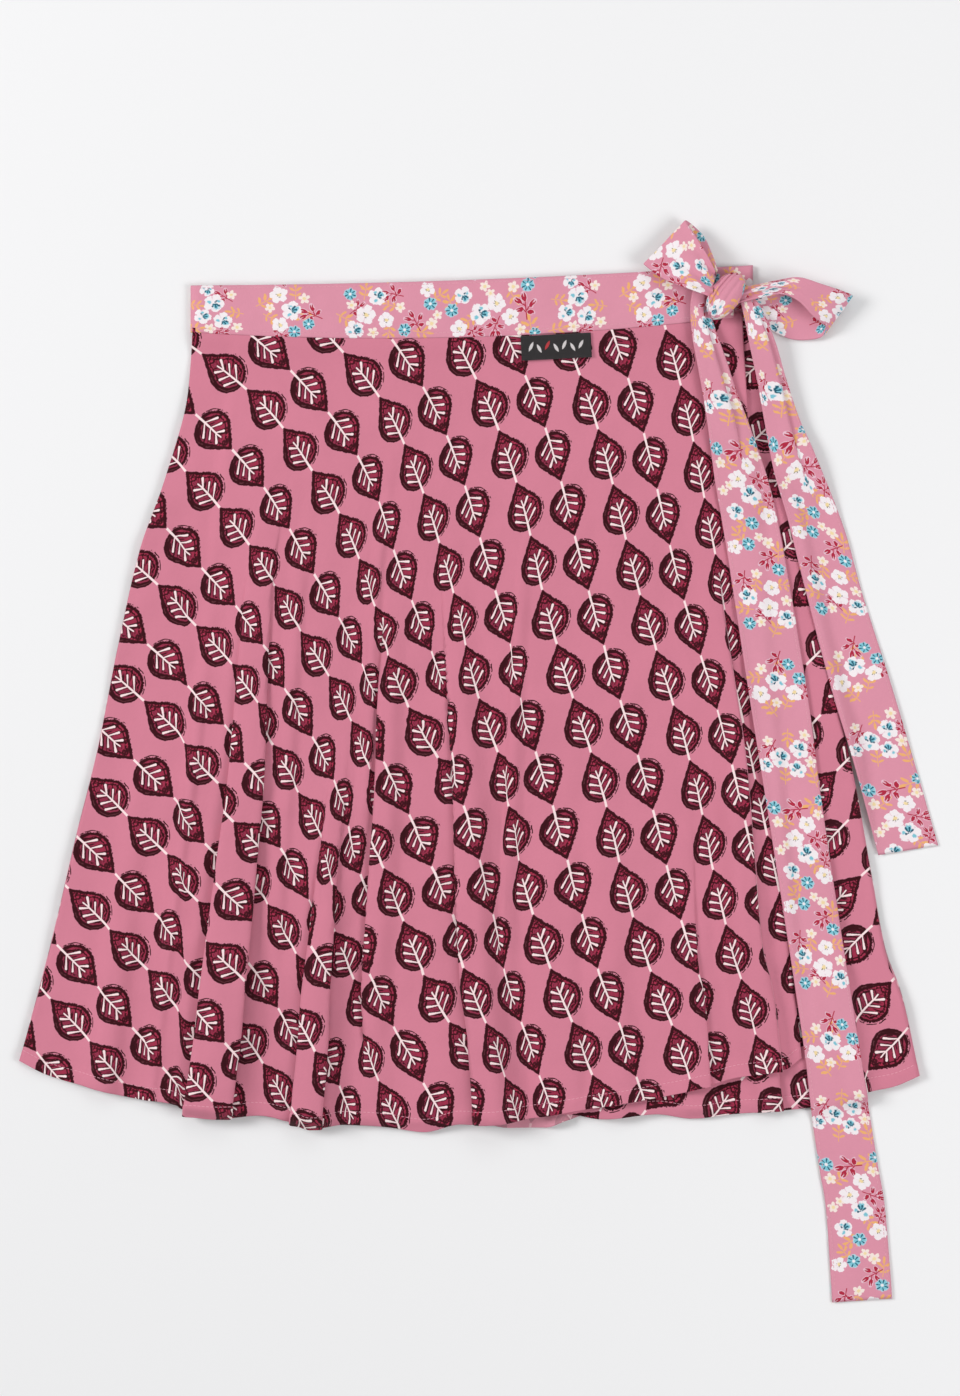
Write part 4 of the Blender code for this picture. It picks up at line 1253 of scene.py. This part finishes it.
knot = {
    "x": 0.1716, "y": 0.3256, "z": 0.0128,
    "halfWidth": 0.0108, "halfLength": 0.0180, "halfHeight": 0.0066,
    "turn": -34.0,
    "steps": 120,
    "points": 44,
    "creases": ((-0.66, 0.09, 0.0020), (-0.36, 0.08, 0.0016), (-0.08, 0.07, 0.0008), (0.42, 0.12, 0.0007)),
    # place, width and depth of each crease
    "cloth": 0.0004,
}


def buildKnot():
    spec = knot
    around = np.linspace(0.0, 2.0 * math.pi, spec["steps"], endpoint=False)
    part = np.linspace(-1.0, 1.0, spec["points"])
    bulge = np.sqrt(np.clip(1.0 - 0.80 * np.abs(part) ** 2.4, 0.0, 1.0))
    grid = np.zeros((spec["points"], spec["steps"], 3))
    uv = np.zeros((spec["points"], spec["steps"] + 1, 2))
    turn = math.radians(spec["turn"])
    for i, p in enumerate(part):
        lean = p + 0.22 * np.sin(around)
        dent = np.zeros_like(around)
        for place, width, depth in spec["creases"]:
            dent += depth * np.exp(-((lean - place) / width) ** 2)
        c = np.cos(around)
        s = np.sin(around)
        boxy = (np.abs(c) ** 2.4 + np.abs(s) ** 2.4) ** (-1.0 / 2.4)
        length = (spec["halfLength"] * bulge[i] - dent) * boxy * c
        height = (spec["halfHeight"] * bulge[i] - dent) * boxy * s
        wide = spec["halfWidth"] * p * (1.0 - 0.12 * np.abs(c))
        grid[i, :, 0] = spec["x"] + wide * math.cos(turn) - length * math.sin(turn) + shiftX
        grid[i, :, 1] = spec["y"] + wide * math.sin(turn) + length * math.cos(turn) + shiftY
        grid[i, :, 2] = spec["z"] + height
        uv[i, :, 0] = 0.012 + 0.014 * (p + 1.0)
        uv[i, :, 1] = np.linspace(0.0, 0.080, spec["steps"] + 1) + 0.055
    outward = np.cross(np.gradient(grid, axis=0), np.gradient(grid, axis=1)) * (grid - grid.mean(axis=(0, 1)))
    piece = clothMesh("bow_knot_cloth", grid, uv, faceDown=outward.sum() < 0.0, roundTube=True)
    dress(piece, spec["cloth"], (flowerRight,), offset=-1.0)
    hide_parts("bow_knot")
    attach(piece, "root")
    print("knot tied")
    return piece


laidKnot = buildKnot()

label = {"left": 0.0290, "right": 0.0780, "length": 0.0170, "drop": 0.0008, "turn": 3.0, "cloth": 0.0005}


def buildLabel():
    spec = label
    columns = 50
    rows = 18
    s = np.linspace(0.0, 1.0, columns)[None]
    d = np.linspace(0.0, 1.0, rows)[:, None]
    turn = math.radians(spec["turn"])
    wide = spec["right"] - spec["left"]
    x = spec["left"] + wide * s + spec["length"] * d * math.sin(turn)
    top = level(outline["waistSeam"], spec["left"]) - spec["drop"]
    y = top + wide * s * math.tan(turn) - spec["length"] * d
    z = heightOn(pileTop(3), x + shiftX, y + shiftY) + 0.0002
    curl = 0.0006 * ease((d - 0.6) / 0.4) * (0.4 + 0.6 * np.abs(2.0 * s - 1.0)) + 0.0 * s
    z = z + curl
    grid = np.stack((x + shiftX, y + shiftY, z), axis=2)
    uv = np.stack((s * labelWeave["size"][0] / 1000.0 + 0.0 * d,
                   (1.0 - d) * labelWeave["size"][1] / 1000.0 + 0.0 * s), axis=2)
    piece = clothMesh("label_cloth", grid, uv)
    dress(piece, spec["cloth"], (blackSatin,))
    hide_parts("label")
    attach(piece, "root")
    return piece


laidLabel = buildLabel()
print("label sewn on")


# floor, light and camera

studio = {
    "floor": colour(240, 240, 241, 0.94),
    "cameraHeight": 2.5,
    "viewHeight": 0.9772,
    "middle": (0.0007, 0.0445),
    "world": 0.36,
    # x, y, z, size, watts
    "lamps": ((-3.0, 0.9, 2.1, 1.3, 95.0), (1.9, -0.5, 1.7, 1.2, 30.0), (0.2, 1.8, 1.8, 1.2, 8.0)),
}

floorMesh = bpy.data.meshes.new("floor")
floorMesh.from_pydata([(-2, -2, -0.0002), (2, -2, -0.0002), (2, 2, -0.0002), (-2, 2, -0.0002)], [],
                      [(0, 1, 2, 3)])
floor = placed("floor", floorMesh)
floorPaper = emptyMaterial("floorPaper")
shader = tree.nodes.new("ShaderNodeBsdfPrincipled")
shader.inputs["Base Color"].default_value = studio["floor"]
shader.inputs["Roughness"].default_value = 0.9
shader.inputs["Specular IOR Level"].default_value = 0.1
output = tree.nodes.new("ShaderNodeOutputMaterial")
tree.links.new(shader.outputs[0], output.inputs["Surface"])
floorMesh.materials.append(floorPaper)

world = bpy.data.worlds.new("studio")
world.use_nodes = True
world.node_tree.nodes["Background"].inputs["Color"].default_value = (1.0, 1.0, 1.0, 1.0)
world.node_tree.nodes["Background"].inputs["Strength"].default_value = studio["world"]
bpy.context.scene.world = world

for number, (x, y, z, size, watts) in enumerate(studio["lamps"]):
    lamp = bpy.data.lights.new("softbox%d" % number, "AREA")
    lamp.energy = watts
    lamp.shape = "SQUARE"
    lamp.size = size
    holder = placed("softbox%d" % number, lamp)
    holder.location = (x, y, z)
    aim = np.array([0.0, 0.04, 0.0]) - np.array([x, y, z])
    flatLength = math.hypot(aim[0], aim[1])
    holder.rotation_euler = (math.atan2(flatLength, -aim[2]), 0.0, math.atan2(-aim[0], aim[1]))

lens = bpy.data.cameras.new("camera")
lens.sensor_fit = "VERTICAL"
lens.sensor_height = 36.0
lens.lens = 36.0 * studio["cameraHeight"] / studio["viewHeight"]
camera = placed("camera", lens)
camera.location = (studio["middle"][0], studio["middle"][1], studio["cameraHeight"])
bpy.context.scene.camera = camera
bpy.context.scene.view_settings.view_transform = "Standard"
print("studio set")
